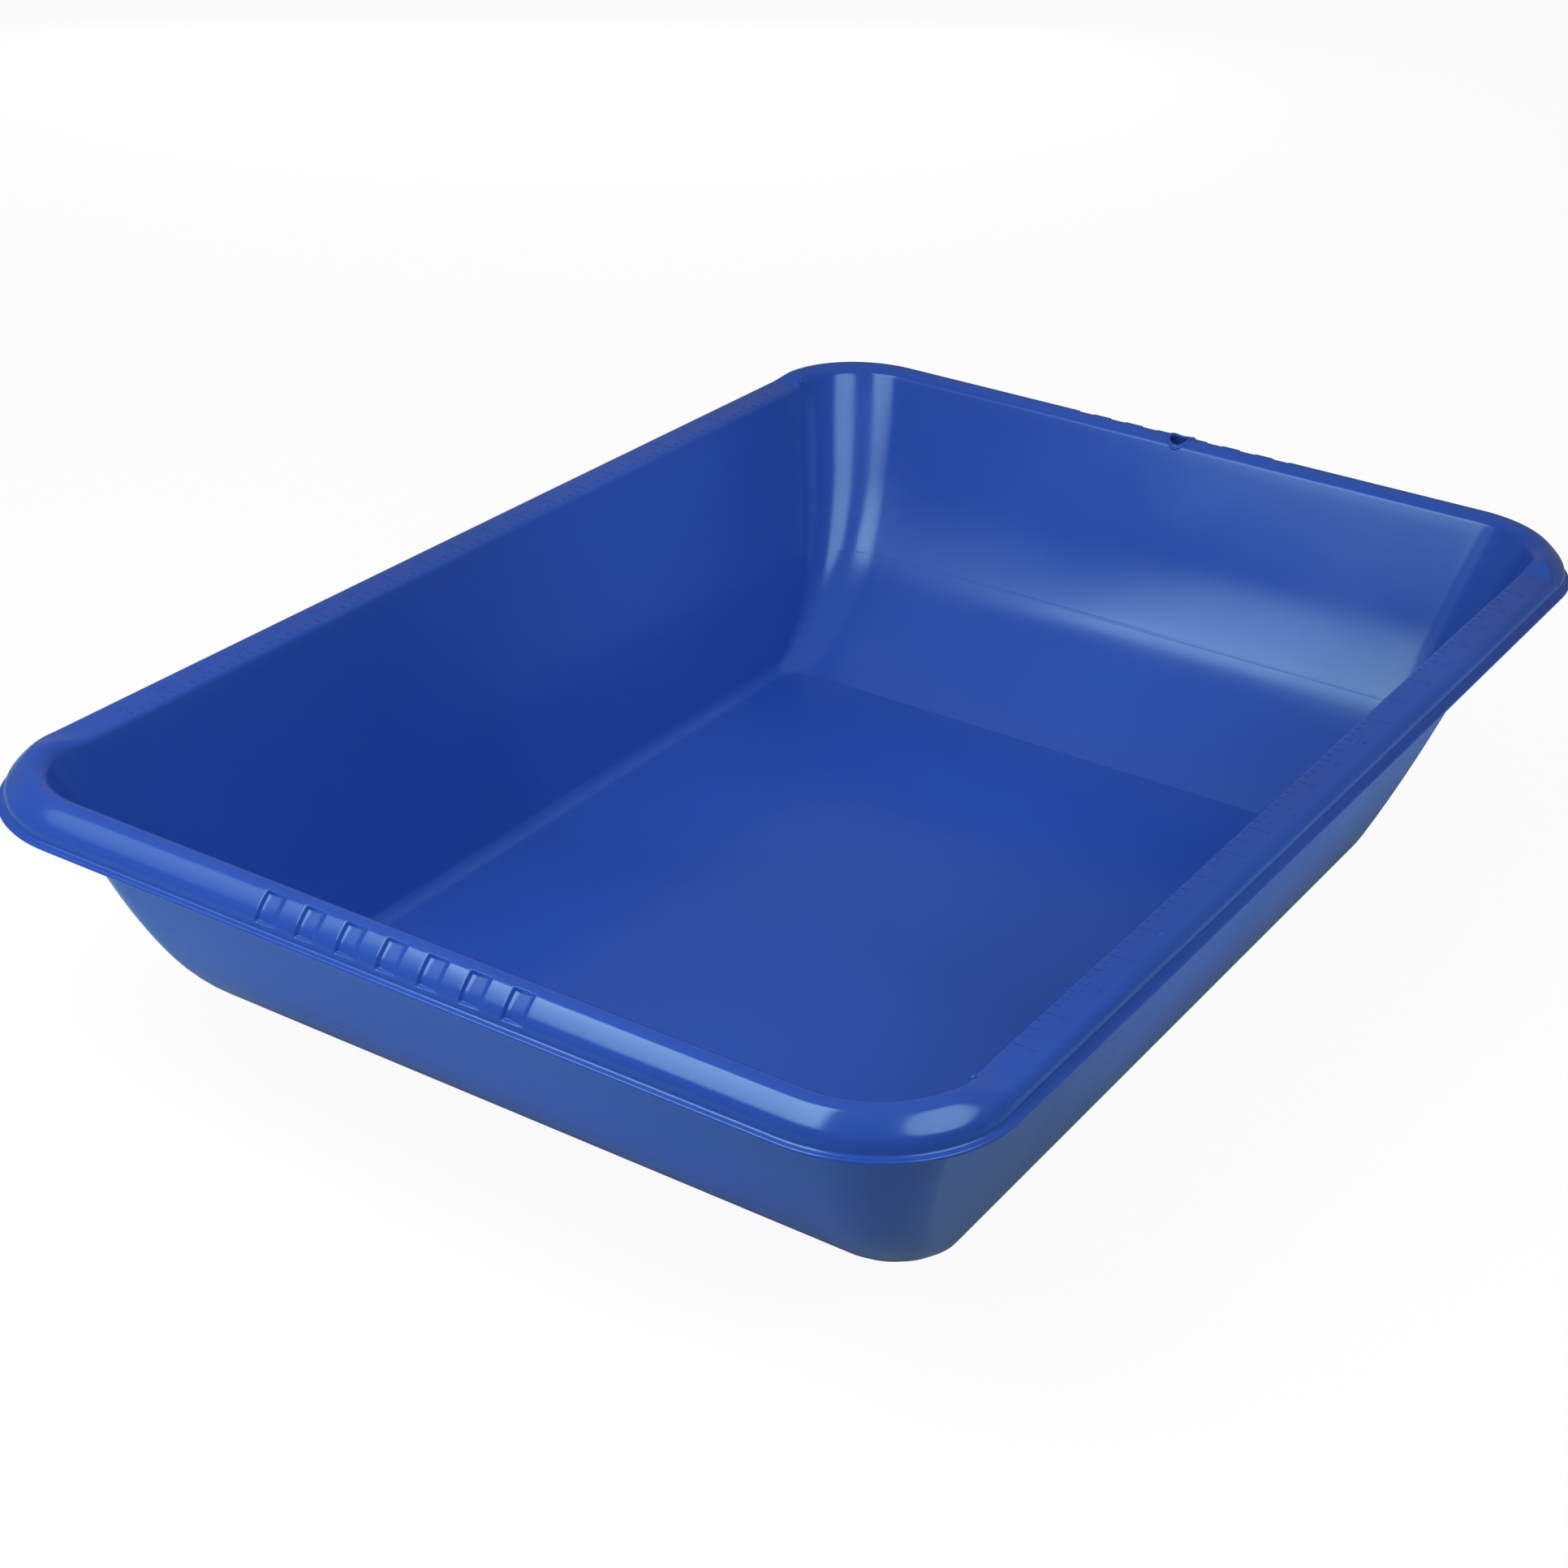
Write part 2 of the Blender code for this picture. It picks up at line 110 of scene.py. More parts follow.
class TubMoulding(bpy.types.PropertyGroup):
    """Sizes of the one-piece moulding."""

    length: distance("Length", "Lip to lip along the tub", CAD_BOX[1][1] - CAD_BOX[0][1])
    width: distance("Width", "Lip to lip across the tub", CAD_BOX[1][0] - CAD_BOX[0][0])
    height: distance("Height", "Ground to the crown of the rim", CROWN)
    wall: distance("Wall", "Thickness of the plastic", 0.0025)
    lip_corner: distance("Lip corner", "Corner radius at the edge of the lip", 0.0625)
    bead_radius: distance("Bead radius", "Radius of the roll's inner side", 0.0085)
    bead_inset: distance("Bead inset", "From the lip's edge to the crown of the roll", 0.0139)
    crown_radius: distance("Crown radius", "Radius of the roll just outside its crown", 0.00625)
    flank_radius: distance("Flank radius", "Radius of the easy flank of the roll", 0.0395)
    shoulder_radius: distance("Shoulder radius", "Radius from the flank down to the skirt", 0.0083)
    flank_turn: turned("Flank turn", "Turn from level where the flank begins", 40)
    shoulder_turn: turned("Shoulder turn", "Turn from level where the shoulder begins", 50.5)
    rim_rise: distance("Rim rise", "Underside of the lip to the crown", 0.0159)
    lip_thickness: distance("Lip thickness", "Thickness of the turned-out lip", 0.0020)
    lip_fillet: distance("Lip fillet", "Round in the valley between skirt and lip", 0.0018)
    side_slope: factor("Side slope", "Lean of the long walls, out for each unit up", 0.302)
    end_slope: factor("End slope", "Lean of the end walls, out for each unit up", 0.446)
    side_bend: distance("Side bend", "Radius between long wall and floor", 0.011)
    end_sweep: distance("End sweep", "Radius of the sweep between end wall and floor", 0.1315)
    upper_sweep: distance("Upper sweep", "Radius of the sweep's easier start below the straight wall", 0.2615)
    sweep_turn: turned("Sweep turn", "Lean of the end wall where the tighter sweep begins", 33)
    sweep_sink: distance("Sweep sink", "How far the sweep would run under the floor", 0.0048)
    crease_round: distance("Crease round", "Round in the crease at the floor's ends", 0.003)
    floor_corner: distance("Floor corner", "Corner radius of the floor's underside", 0.0195)
    corner_ease: distance("Corner ease", "How much rounder the inside of a corner is at half height", 0.0040)
    land_drop: distance("Land drop", "How far the scale's land lies under the crown", 0.0049)
    land_half: distance("Land half length", "From mid-length to the end of the land", 0.2835)
    land_step: distance("Land step", "Run of the step up to the roll at the land's far end", 0.008)
    near_step: distance("Near step", "Run of the easy rise up to the roll at the land's near end", 0.030)
    near_lead: distance("Near lead", "How far before the land's near end the easy rise begins", 0.006)
    land_inner_round: distance("Land inner round", "Round from the land to the long wall", 0.0034)
    land_outer_round: distance("Land outer round", "Round from the land to the skirt", 0.0048)
    side_bow: distance("Side bow", "How far the long rims bow out at mid-length", 0.0004)
    level_line: distance("Level line", "Height of the fine line round the end walls", 0.0515)
    line_depth: distance("Line depth", "Depth of the fine line", 0.00012)


class TubGrips(bpy.types.PropertyGroup):
    """Finger grips pressed into the outer shoulder of both end rims."""

    count: IntProperty(name="Grips", description="Grips along one end", default=7, min=1)
    pitch: distance("Pitch", "Grip to grip", 0.0196)
    length: distance("Length", "Length of one grip along the rim", 0.0104)
    deep: distance("Left depth", "Depth at the left end of a grip", 0.0017)
    shallow: distance("Right depth", "Depth at the right end of a grip", 0.0007)
    steep_run: distance("Left run", "Run of the wall at the left end", 0.0011)
    easy_run: distance("Right run", "Run of the wall at the right end", 0.0007)
    inner_reach: distance("Inner reach", "From the crown over the roll to the grip", 0.0027)
    far_shift: distance("Far shift", "How much nearer to the crown the far grips start", 0.0025)
    outer_reach: distance("Outer reach", "From the crown over the roll to the grip's outer end", 0.0168)
    end_run: distance("End run", "Run of the walls at the inner and outer ends", 0.0012)


class TubHole(bpy.types.PropertyGroup):
    """Hang hole in the crown of the far rim."""

    diameter: distance("Hole", "Diameter of the hole", 0.0102)
    collar: distance("Collar", "Diameter of the collar, at the middle of its ring", 0.0120)
    collar_round: distance("Collar round", "Radius of the collar's ring", 0.0009)
    inward: distance("Inward", "How far the hole lies to the inside of the crown", 0.0017)
    edge: distance("Edge", "Thickness of the crown round the hole", 0.0010)
    spur_side: distance("Spur side", "From the middle of the hole to the spur", 0.0072)
    spur_out: distance("Spur out", "How far the spur lies to the outside of the crown", 0.0006)
    spur_length: distance("Spur length", "Half length of the spur along the rim", 0.0016)
    spur_round: distance("Spur round", "Half height of the spur", 0.0011)


class TubNubs(bpy.types.PropertyGroup):
    """Small moulded nub at one end of each land."""

    side: distance("Side", "From the middle of the tub to a nub", 0.2153)
    past: distance("Past", "How far past the land's end a nub lies", 0.0012)
    near_drop: distance("Near drop", "How far the near nub lies under the crown", 0.0047)
    far_drop: distance("Far drop", "How far the far nub lies under the crown", 0.0034)
    lean: turned("Lean", "Turn of a nub towards the inside", 38)
    across: distance("Across", "Half width of a nub", 0.0016)
    along: distance("Along", "Half length of a nub", 0.0015)
    rise: distance("Rise", "Half height of a nub", 0.0009)


class TubScale(bpy.types.PropertyGroup):
    """Raised inch scale on both long rims."""

    inches: IntProperty(name="Inches", description="Length of the scale in inches", default=20, min=1)
    inch: distance("Inch", "Spacing of the numbers", 0.0254)
    start: distance("Start", "Place of the zero along the tub", -0.2562)
    edge: distance("Edge", "From the middle of the tub to the inner end of the marks", 0.2156)
    inch_mark: distance("Inch mark", "Length of an inch mark", 0.0051)
    half_mark: distance("Half mark", "Length of a half-inch mark", 0.0039)
    quarter_mark: distance("Quarter mark", "Length of a quarter-inch mark", 0.0027)
    mark_width: distance("Mark width", "Width of a mark at its foot", 0.0008)
    raise_by: distance("Raise", "How far marks and numbers stand up from the land", 0.00022)
    number_middle: distance("Number line", "From the middle of the tub to the middle of the numbers", 0.2240)
    number_height: distance("Number height", "Height of a figure", 0.0038)
    root: distance("Root", "How far a mark's foot goes into the land", 0.0007)


class TubPlastic(bpy.types.PropertyGroup):
    """Glossy blue moulded plastic."""

    base: colour("Base", "Colour of the plastic", (0.015, 0.057, 0.325))
    thin: colour("Flow tint", "Slightly lighter colour along the flow of the melt", (0.017, 0.063, 0.350))
    sheen: colour("Reflection tint", "Tint of what the plastic mirrors head-on", (0.56, 0.89, 1.0))
    gloss: factor("Roughness", "Roughness of clean, glossy areas", 0.16)
    haze: factor("Haze", "Roughness of handled areas", 0.25)
    ior: factor("Refraction", "Index of refraction of the plastic", 1.49)
    peel: factor("Peel", "Strength of the skin's faint waviness", 0.05)


class TubStage(bpy.types.PropertyGroup):
    """Floor, backdrop, soft lights and camera."""

    floor: colour("Floor", "Colour of the floor", (0.88, 0.88, 0.88))
    # Painted reflection and shade: gloss sees the floor darker and blue instead of lit white. This stands in for the
    # tub's blue bounce light and its shadow on the floor, so the outer walls mirror a bluish grey.
    mirrored: colour("Mirrored floor", "Colour of the floor as it shows in gloss", (0.26, 0.46, 0.50))
    bounce: factor("Bounce", "Share of the floor's colour that falls back on the tub", 0.5)
    shown: factor("Shown white", "Share of plain white in the floor as the camera sees it", 0.94)
    glossed: factor("Mirrored white", "Share of plain white in floor and surround as gloss shows them", 0.05)
    surround: factor("Surround", "Strength of the even light from the sides", 0.18)
    overhead: factor("Overhead", "Strength of the even light from above", 0.45)
    front: power("Front light", "Power of the big soft light at the front left", 5.8)
    side: power("Side light", "Power of the soft light at the right", 5.0)
    wall: power("Wall fill", "Power of the fill that faces the left wall", 0.20)
    left: power("Left light", "Power of the weak soft light at the left", 0.16)
    fill: power("Inner fill", "Power of the fill over the tub's inside", 0.56)
    distant: power("Distant fill", "Power of the fill far in front", 2.4)
    back: power("Back fill", "Power of the fill that faces the hidden sides", 8.0)
    lift: power("Floor lift", "Power of each light that lifts the outer walls", 1.1)


class Lean:
    """One face of a wall, by its offset from the wall's line at the roll: a slope, two bends and perhaps a crease."""

    def __init__(self, slope, bend, floor_z, roll_z, sink=0.0, crease=0.0, upper=None, upper_turn=0.0):
        turn = math.atan(slope)
        upper, upper_turn = (bend, turn) if upper is None else (upper, upper_turn)
        self.slope, self.bend, self.upper, self.floor_z, self.roll_z = slope, bend, upper, floor_z, roll_z
        self.middle_z = floor_z - sink + bend
        self.upper_z = self.middle_z + (upper - bend) * math.sin(upper_turn)
        self.bend_top = self.upper_z - upper * math.sin(turn)
        self.change_z = self.middle_z - bend * math.sin(upper_turn)
        self.upper_middle = -slope * (roll_z - self.bend_top) - upper * math.cos(turn)
        self.middle = self.upper_middle + (upper - bend) * math.cos(upper_turn)
        self.crease = crease
        self.crease_top = floor_z
        self.foot = self.middle
        if sink > 0.0:
            reach = math.sqrt((bend - crease) ** 2 - (bend - sink - crease) ** 2)
            self.foot = self.middle + reach
            self.crease_top = self.middle_z - bend * math.cos(math.asin(reach / (bend - crease)))

    def offset(self, z):
        if z >= self.bend_top:
            return -self.slope * (self.roll_z - z)
        if z <= self.crease_top:
            rise = min(max(z - self.floor_z, 0.0), self.crease)
            return self.foot + math.sqrt(max(self.crease ** 2 - (self.crease - rise) ** 2, 0.0))
        if z >= self.change_z:
            return self.upper_middle + math.sqrt(max(self.upper ** 2 - (self.upper_z - z) ** 2, 0.0))
        return self.middle + math.sqrt(max(self.bend ** 2 - (self.middle_z - z) ** 2, 0.0))


class Column:
    """One upright slice of the shell: on an end, on a long side, or round a corner."""

    def __init__(self, kind, sign_x, sign_y, turn, along=0.0, whole=1.0):
        self.kind, self.sign_x, self.sign_y = kind, sign_x, sign_y
        self.turn, self.along, self.whole = turn, along, whole

    def place(self, half_x, half_y, radius):
        if self.kind == "end":
            return self.along * (half_x - radius), self.sign_y * half_y
        if self.kind == "side":
            return self.sign_x * half_x, self.along * (half_y - radius)
        x = half_x - radius + radius * math.cos(self.turn)
        y = half_y - radius + radius * math.sin(self.turn)
        return self.sign_x * x, self.sign_y * y

    def outward(self):
        if self.kind == "end":
            return Vector((0.0, self.sign_y, 0.0))
        if self.kind == "side":
            return Vector((self.sign_x, 0.0, 0.0))
        return Vector((self.sign_x * math.cos(self.turn), self.sign_y * math.sin(self.turn), 0.0))


def spread(first, last, steps):
    return [first + (last - first) * k / steps for k in range(steps + 1)]


def smooth(share):
    share = min(max(share, 0.0), 1.0)
    return share * share * (3.0 - 2.0 * share)


def clear_stops(stops, least=0.00003):
    """Places along an edge in order, without near doubles."""
    places = sorted(round(stop, 6) for stop in stops)
    return [place for k, place in enumerate(places) if k == 0 or place - places[k - 1] > least]


def first_grip(grips):
    """Where the first grip of a row starts, so that the row is centred."""
    return -(grips.pitch * (grips.count - 1) + grips.length) / 2


class Moulding:
    """The closed shell of the tub as rings: floor, inner walls, roll, lip, hollow, outer walls and underside."""

    def __init__(self, sizes, grips):
        self.s = s = sizes
        self.g = grips
        self.roll_z = s.height - s.bead_radius
        self.lip_z = s.height - s.rim_rise
        self.land_z = s.height - s.land_drop
        self.half_x, self.half_y = s.width / 2, s.length / 2
        self.corner_x, self.corner_y = self.half_x - s.lip_corner, self.half_y - s.lip_corner
        self.crown = Vector((s.bead_inset, s.height - s.crown_radius))
        self.flank = self.crown + self.lean_ray(s.flank_turn) * (s.crown_radius - s.flank_radius)
        self.shoulder = self.flank + self.lean_ray(s.shoulder_turn) * (s.flank_radius - s.shoulder_radius)
        self.skirt = self.shoulder.x - s.shoulder_radius
        self.crown_end = s.crown_radius * s.flank_turn
        self.flank_end = self.crown_end + s.flank_radius * (s.shoulder_turn - s.flank_turn)
        self.shoulder_end = self.flank_end + s.shoulder_radius * (math.pi / 2 - s.shoulder_turn)
        self.skirt_end = self.shoulder_end + self.shoulder.y - self.lip_z - s.lip_thickness - s.lip_fillet
        top_radius = s.lip_corner - s.bead_inset - s.bead_radius + s.wall
        self.taper = (top_radius - s.floor_corner) / self.roll_z
        self.faces = {}
        for inner, inset in ((True, s.wall), (False, 0.0)):
            crease = s.crease_round + s.wall - inset
            side = Lean(s.side_slope, s.side_bend - inset, inset, self.roll_z)
            end = Lean(s.end_slope, s.end_sweep - inset, inset, self.roll_z, s.sweep_sink, crease,
                       s.upper_sweep - inset, s.sweep_turn)
            self.faces[inner] = (side, end)

    def lean(self, turn):
        """Angle of the wall from upright, along its own normal, at a place round a corner."""
        across, along = math.cos(turn), math.sin(turn)
        rise = (self.s.side_slope - self.taper * (1.0 - across)) * across
        rise += (self.s.end_slope - self.taper * (1.0 - along)) * along
        return math.atan(rise)

    def columns(self):
        """All slices in order round the tub, closer together where the grips, the hole and the land's ends are."""
        g = self.g
        first = first_grip(g)
        gap, margin = 0.0005, 0.002
        marks = set(spread(-self.corner_x, first - margin, 9)) | set(spread(margin - first, self.corner_x, 9))
        for k in range(g.count):
            start = first + g.pitch * k
            marks |= set(spread(start, start + g.steep_run, 6))
            marks |= set(spread(start + g.steep_run, start + g.length - g.easy_run, 4))
            marks |= set(spread(start + g.length - g.easy_run, start + g.length, 5))
            marks |= {start - gap, start + g.length + gap}
            marks |= set(spread(start + g.length + gap, start + g.pitch - gap, 3))
        ends = clear_stops(marks)
        step, lead, half = self.s.land_step, self.s.near_lead, self.s.land_half
        stops = set(spread(lead - half, half - step / 2, 30))
        stops |= set(spread(half - step / 2, self.corner_y, 9)) | set(spread(-self.corner_y, lead - half, 6))
        sides = clear_stops(stops)
        quarter = math.pi / 2
        turns = spread(0.0, quarter, 28)[1:-1]
        made = [Column("end", 1, -1, quarter, x / self.corner_x) for x in ends]
        made += [self.near_corner_column(1, turn) for turn in reversed(turns)]
        made += [self.side_column(1, y) for y in sides]
        made += [Column("corner", 1, 1, turn) for turn in turns]
        made += [Column("end", 1, 1, quarter, x / self.corner_x) for x in reversed(ends)]
        made += [Column("corner", -1, 1, turn) for turn in reversed(turns)]
        made += [self.side_column(-1, y) for y in reversed(sides)]
        made += [self.near_corner_column(-1, turn) for turn in turns]
        return made

    def side_column(self, sign, y):
        s = self.s
        start, run = s.land_half - s.land_step / 2, s.land_step
        if y < 0:
            start, run = s.land_half - s.near_lead, s.near_step
        return Column("side", sign, 1, 0.0, y / self.corner_y, smooth((abs(y) - start) / run))

    def near_corner_column(self, sign, turn):
        """A slice round a near corner, where the roll still rises from the land."""
        s = self.s
        along = self.corner_y + turn * (s.lip_corner - s.bead_inset)
        return Column("corner", sign, -1, turn, 0.0, smooth((along - s.land_half + s.near_lead) / s.near_step))

    def lean_ray(self, turn):
        """The way out of the roll's outer side, by its turn from level."""
        return Vector((-math.sin(turn), math.cos(turn)))

    def outer_at(self, reach):
        """A point and normal on the roll's outer side, by its reach from the crown over the surface."""
        s = self.s
        if reach <= self.crown_end:
            middle, radius, turn = self.crown, s.crown_radius, reach / s.crown_radius
        elif reach <= self.flank_end:
            middle, radius = self.flank, s.flank_radius
            turn = s.flank_turn + (reach - self.crown_end) / s.flank_radius
        elif reach <= self.shoulder_end:
            middle, radius = self.shoulder, s.shoulder_radius
            turn = s.shoulder_turn + (reach - self.flank_end) / s.shoulder_radius
        elif reach <= self.skirt_end:
            return self.skirt, self.shoulder.y - (reach - self.shoulder_end), -1.0, 0.0
        else:
            return self.valley((reach - self.skirt_end) / s.lip_fillet)
        way = self.lean_ray(turn)
        return (*(middle + way * radius), *way)

    def rim_path(self, lean, whole):
        """Rim section from the top of the inner wall to the top of the outer wall, with reach from the crown."""
        s, g = self.s, self.g
        inset, z0 = s.bead_inset, self.roll_z
        crown_gap = 0.0006
        reaches = spread(crown_gap, g.inner_reach, 7)[:-1] + spread(g.inner_reach, g.inner_reach + g.end_run, 7)
        reaches += spread(g.inner_reach + g.end_run, g.outer_reach - g.end_run, 18)[1:-1]
        reaches += spread(g.outer_reach - g.end_run, g.outer_reach, 7) + [self.shoulder_end, self.skirt_end]
        roll = []
        for turn in spread(lean, math.pi / 2, 13):
            way = Vector((math.cos(turn), math.sin(turn)))
            roll.append((inset + s.bead_radius * way.x, z0 + s.bead_radius * way.y, *way, -1.0))
        for reach in reaches:
            roll.append((*self.outer_at(reach), reach))
        land = self.land_path(lean, len(roll))
        path = []
        for (u, z, nu, nz, reach), (lu, lz) in zip(roll, land):
            path.append((lu + (u - lu) * whole, lz + (z - lz) * whole, nu, nz, reach))
        far = 1.0
        for turn in spread(0.0, math.pi / 2, 7)[1:]:
            path.append((*self.valley(turn), far))
        low, edge = self.lip_z, s.lip_thickness / 2
        for turn in spread(math.pi / 2, -math.pi / 2, 8):
            path.append((edge - edge * math.cos(turn), low + edge + edge * math.sin(turn), -1.0, 0.0, far))
        inside, bend = self.skirt + s.wall, 0.0015
        for turn in spread(0.0, math.pi / 2, 4):
            path.append((inside - bend + bend * math.sin(turn), low + bend - bend * math.cos(turn), 0.0, -1.0, far))
        turns = spread(math.pi / 2, s.shoulder_turn, 5)
        hollow = [self.shoulder + self.lean_ray(turn) * (s.shoulder_radius - s.wall) for turn in turns]
        turns = spread(s.shoulder_turn, s.flank_turn, 2)[1:]
        hollow += [self.flank + self.lean_ray(turn) * (s.flank_radius - s.wall) for turn in turns]
        turns = spread(s.flank_turn, 0.0, 5)[1:-1]
        hollow += [self.crown + self.lean_ray(turn) * (s.crown_radius - s.wall) for turn in turns]
        for turn in spread(math.pi / 2, lean, 7):
            hollow.append(Vector((inset, z0)) + Vector((math.cos(turn), math.sin(turn))) * (s.bead_radius - s.wall))
        ceiling = self.land_z - s.wall
        for u, z in hollow:
            path.append((u, ceiling + (z - ceiling) * whole if z > ceiling else z, 0.0, -1.0, far))
        return path

    def valley(self, turn):
        """A point and normal in the concave round between the skirt and the lip."""
        s = self.s
        middle_u = self.skirt - s.lip_fillet
        middle_z = self.lip_z + s.lip_thickness + s.lip_fillet
        u, z = middle_u + s.lip_fillet * math.cos(turn), middle_z - s.lip_fillet * math.sin(turn)
        return u, z, -math.cos(turn), math.sin(turn)

    def land_path(self, lean, count):
        """The same stretch as the roll where it is pressed flat for the scale, with as many points."""
        s = self.s
        inner, outer = s.land_inner_round, s.land_outer_round
        middle_z = self.land_z - inner
        line = s.bead_inset + s.bead_radius / math.cos(lean) + math.tan(lean) * (self.roll_z - middle_z)
        middle_u = line - inner / math.cos(lean)
        skirt = self.skirt
        points = []
        for turn in spread(lean, math.pi / 2, 13):
            points.append((middle_u + inner * math.cos(turn), middle_z + inner * math.sin(turn)))
        rest = count - len(points)
        flat, bend = rest // 3, rest // 3
        for k in range(1, flat + 1):
            points.append((middle_u + (skirt + outer - middle_u) * k / flat, self.land_z))
        for k in range(1, bend + 1):
            turn = math.pi / 2 * (1.0 + k / bend)
            points.append((skirt + outer + outer * math.cos(turn), self.land_z - outer + outer * math.sin(turn)))
        left = count - len(points)
        bottom = self.lip_z + s.lip_thickness + s.lip_fillet
        for k in range(1, left + 1):
            points.append((skirt, self.land_z - outer + (bottom - self.land_z + outer) * k / left))
        return points

    def crown_surface(self, out):
        """Height and normal of the roll, by how far out from its crown."""
        s = self.s
        if out <= 0.0:
            rise = math.sqrt(s.bead_radius ** 2 - out ** 2)
            return self.roll_z + rise, Vector((out, rise)).normalized()
        low, high = 0.0, self.shoulder_end
        for _ in range(40):
            middle = (low + high) / 2
            if s.bead_inset - self.outer_at(middle)[0] < out:
                low = middle
            else:
                high = middle
        u, z, nu, nz = self.outer_at(low)
        return z, Vector((-nu, nz))

    def wall_levels(self, inner):
        """The rings of a wall: shares of the way from floor to rim, each with the depth of the level line there."""
        side, end = self.faces[inner]
        base, over_roll = side.floor_z, 0.0025
        top = self.roll_z + over_roll
        heights = []
        turn_top = math.pi / 2 - math.atan(side.slope)
        for turn in spread(0.0, turn_top, 15 if inner else 9)[1:]:
            heights.append(base + side.bend * (1.0 - math.cos(turn)))
        heights += spread(heights[-1], end.bend_top, 22 if inner else 14)[1:]
        heights += spread(end.bend_top, top, 9 if inner else 6)[1:-1]
        levels = [(z, 0.0) for z in heights]
        if inner:
            line, clear, edges = self.s.level_line, 0.0012, (-0.0009, -0.0005, 0.0005, 0.0009)
            levels = [level for level in levels if abs(level[0] - line) > clear]
            levels += [(line + edge, 0.0) for edge in edges]
            levels.append((line, self.s.line_depth))
        return [((z - base) / (top - base), depth) for z, depth in sorted(levels)]

    def wall_ring(self, share, inner, top_u, top_z):
        """Half sizes, corner radius and height of one ring of a wall."""
        side, end = self.faces[inner]
        z = side.floor_z + (top_z - side.floor_z) * share
        line_x = self.half_x - top_u - side.slope * (top_z - self.roll_z)
        line_y = self.half_y - top_u - end.slope * (top_z - self.roll_z)
        radius = self.s.lip_corner - top_u - self.taper * (top_z - z)
        if inner:
            radius += self.s.corner_ease * 4.0 * share * (1.0 - share)
        return line_x + side.offset(z), line_y + end.offset(z), radius, z

    def slice(self, column):
        """Every point of one slice, with its grip reach and the way out of the surface there."""
        s = self.s
        lean = self.lean(column.turn)
        rim = self.rim_path(lean, column.whole)
        out = column.outward()
        border, least_radius = 0.004, 0.002
        points = []

        def wall(share, inner, top, shrink=0.0):
            half_x, half_y, radius, z = self.wall_ring(share, inner, *top)
            x, y = column.place(half_x - shrink, half_y - shrink, max(radius - shrink, least_radius))
            points.append((x, y, z, 1.0, Vector((0.0, 0.0, 1.0))))

        inner_top, outer_top = rim[0][:2], rim[-1][:2]
        wall(0.0, True, inner_top, border)
        wall(0.0, True, inner_top)
        ended = smooth(column.turn / (math.pi / 2))
        for share, depth in self.wall_levels(True):
            wall(share, True, inner_top, -depth * ended)
        for u, z, nu, nz, reach in rim:
            x, y = column.place(self.half_x - u, self.half_y - u, s.lip_corner - u)
            normal = out * -nu + Vector((0.0, 0.0, nz))
            points.append((x, y, z, reach if column.kind == "end" else 1.0, normal))
        for share, _ in reversed(self.wall_levels(False)):
            wall(share, False, outer_top)
        wall(0.0, False, outer_top)
        wall(0.0, False, outer_top, border)
        bowed = []
        for x, y, z, reach, normal in points:
            ease = max(1.0 - (y / self.corner_y) ** 2, 0.0) * smooth(z / s.height)
            ease *= min(abs(x) / self.half_x, 1.0) ** BOW_POWER
            bowed.append((x + math.copysign(s.side_bow, x) * ease, y, z, reach, normal))
        return bowed

    def mesh(self, name):
        shape = bmesh.new()
        reach_layer = shape.verts.layers.float.new("grip_reach")
        out_layer = shape.verts.layers.float_vector.new("grip_out")
        slices = []
        for column in self.columns():
            made = []
            for x, y, z, reach, normal in self.slice(column):
                point = shape.verts.new((x, y, z))
                point[reach_layer] = reach
                point[out_layer] = normal
                made.append(point)
            slices.append(made)
        for left, right in zip(slices, slices[1:] + slices[:1]):
            for k in range(len(left) - 1):
                shape.faces.new((left[k], right[k], right[k + 1], left[k + 1]))
        shape.faces.new([made[0] for made in reversed(slices)])
        shape.faces.new([made[-1] for made in slices])
        if shape.calc_volume(signed=True) < 0.0:
            bmesh.ops.reverse_faces(shape, faces=shape.faces)
        return mesh_from(shape, name)


def mesh_from(shape, name, smooth=True):
    """Ends a bmesh as a mesh."""
    if smooth:
        for face in shape.faces:
            face.smooth = True
    mesh = bpy.data.meshes.new(name)
    shape.to_mesh(mesh)
    shape.free()
    return mesh


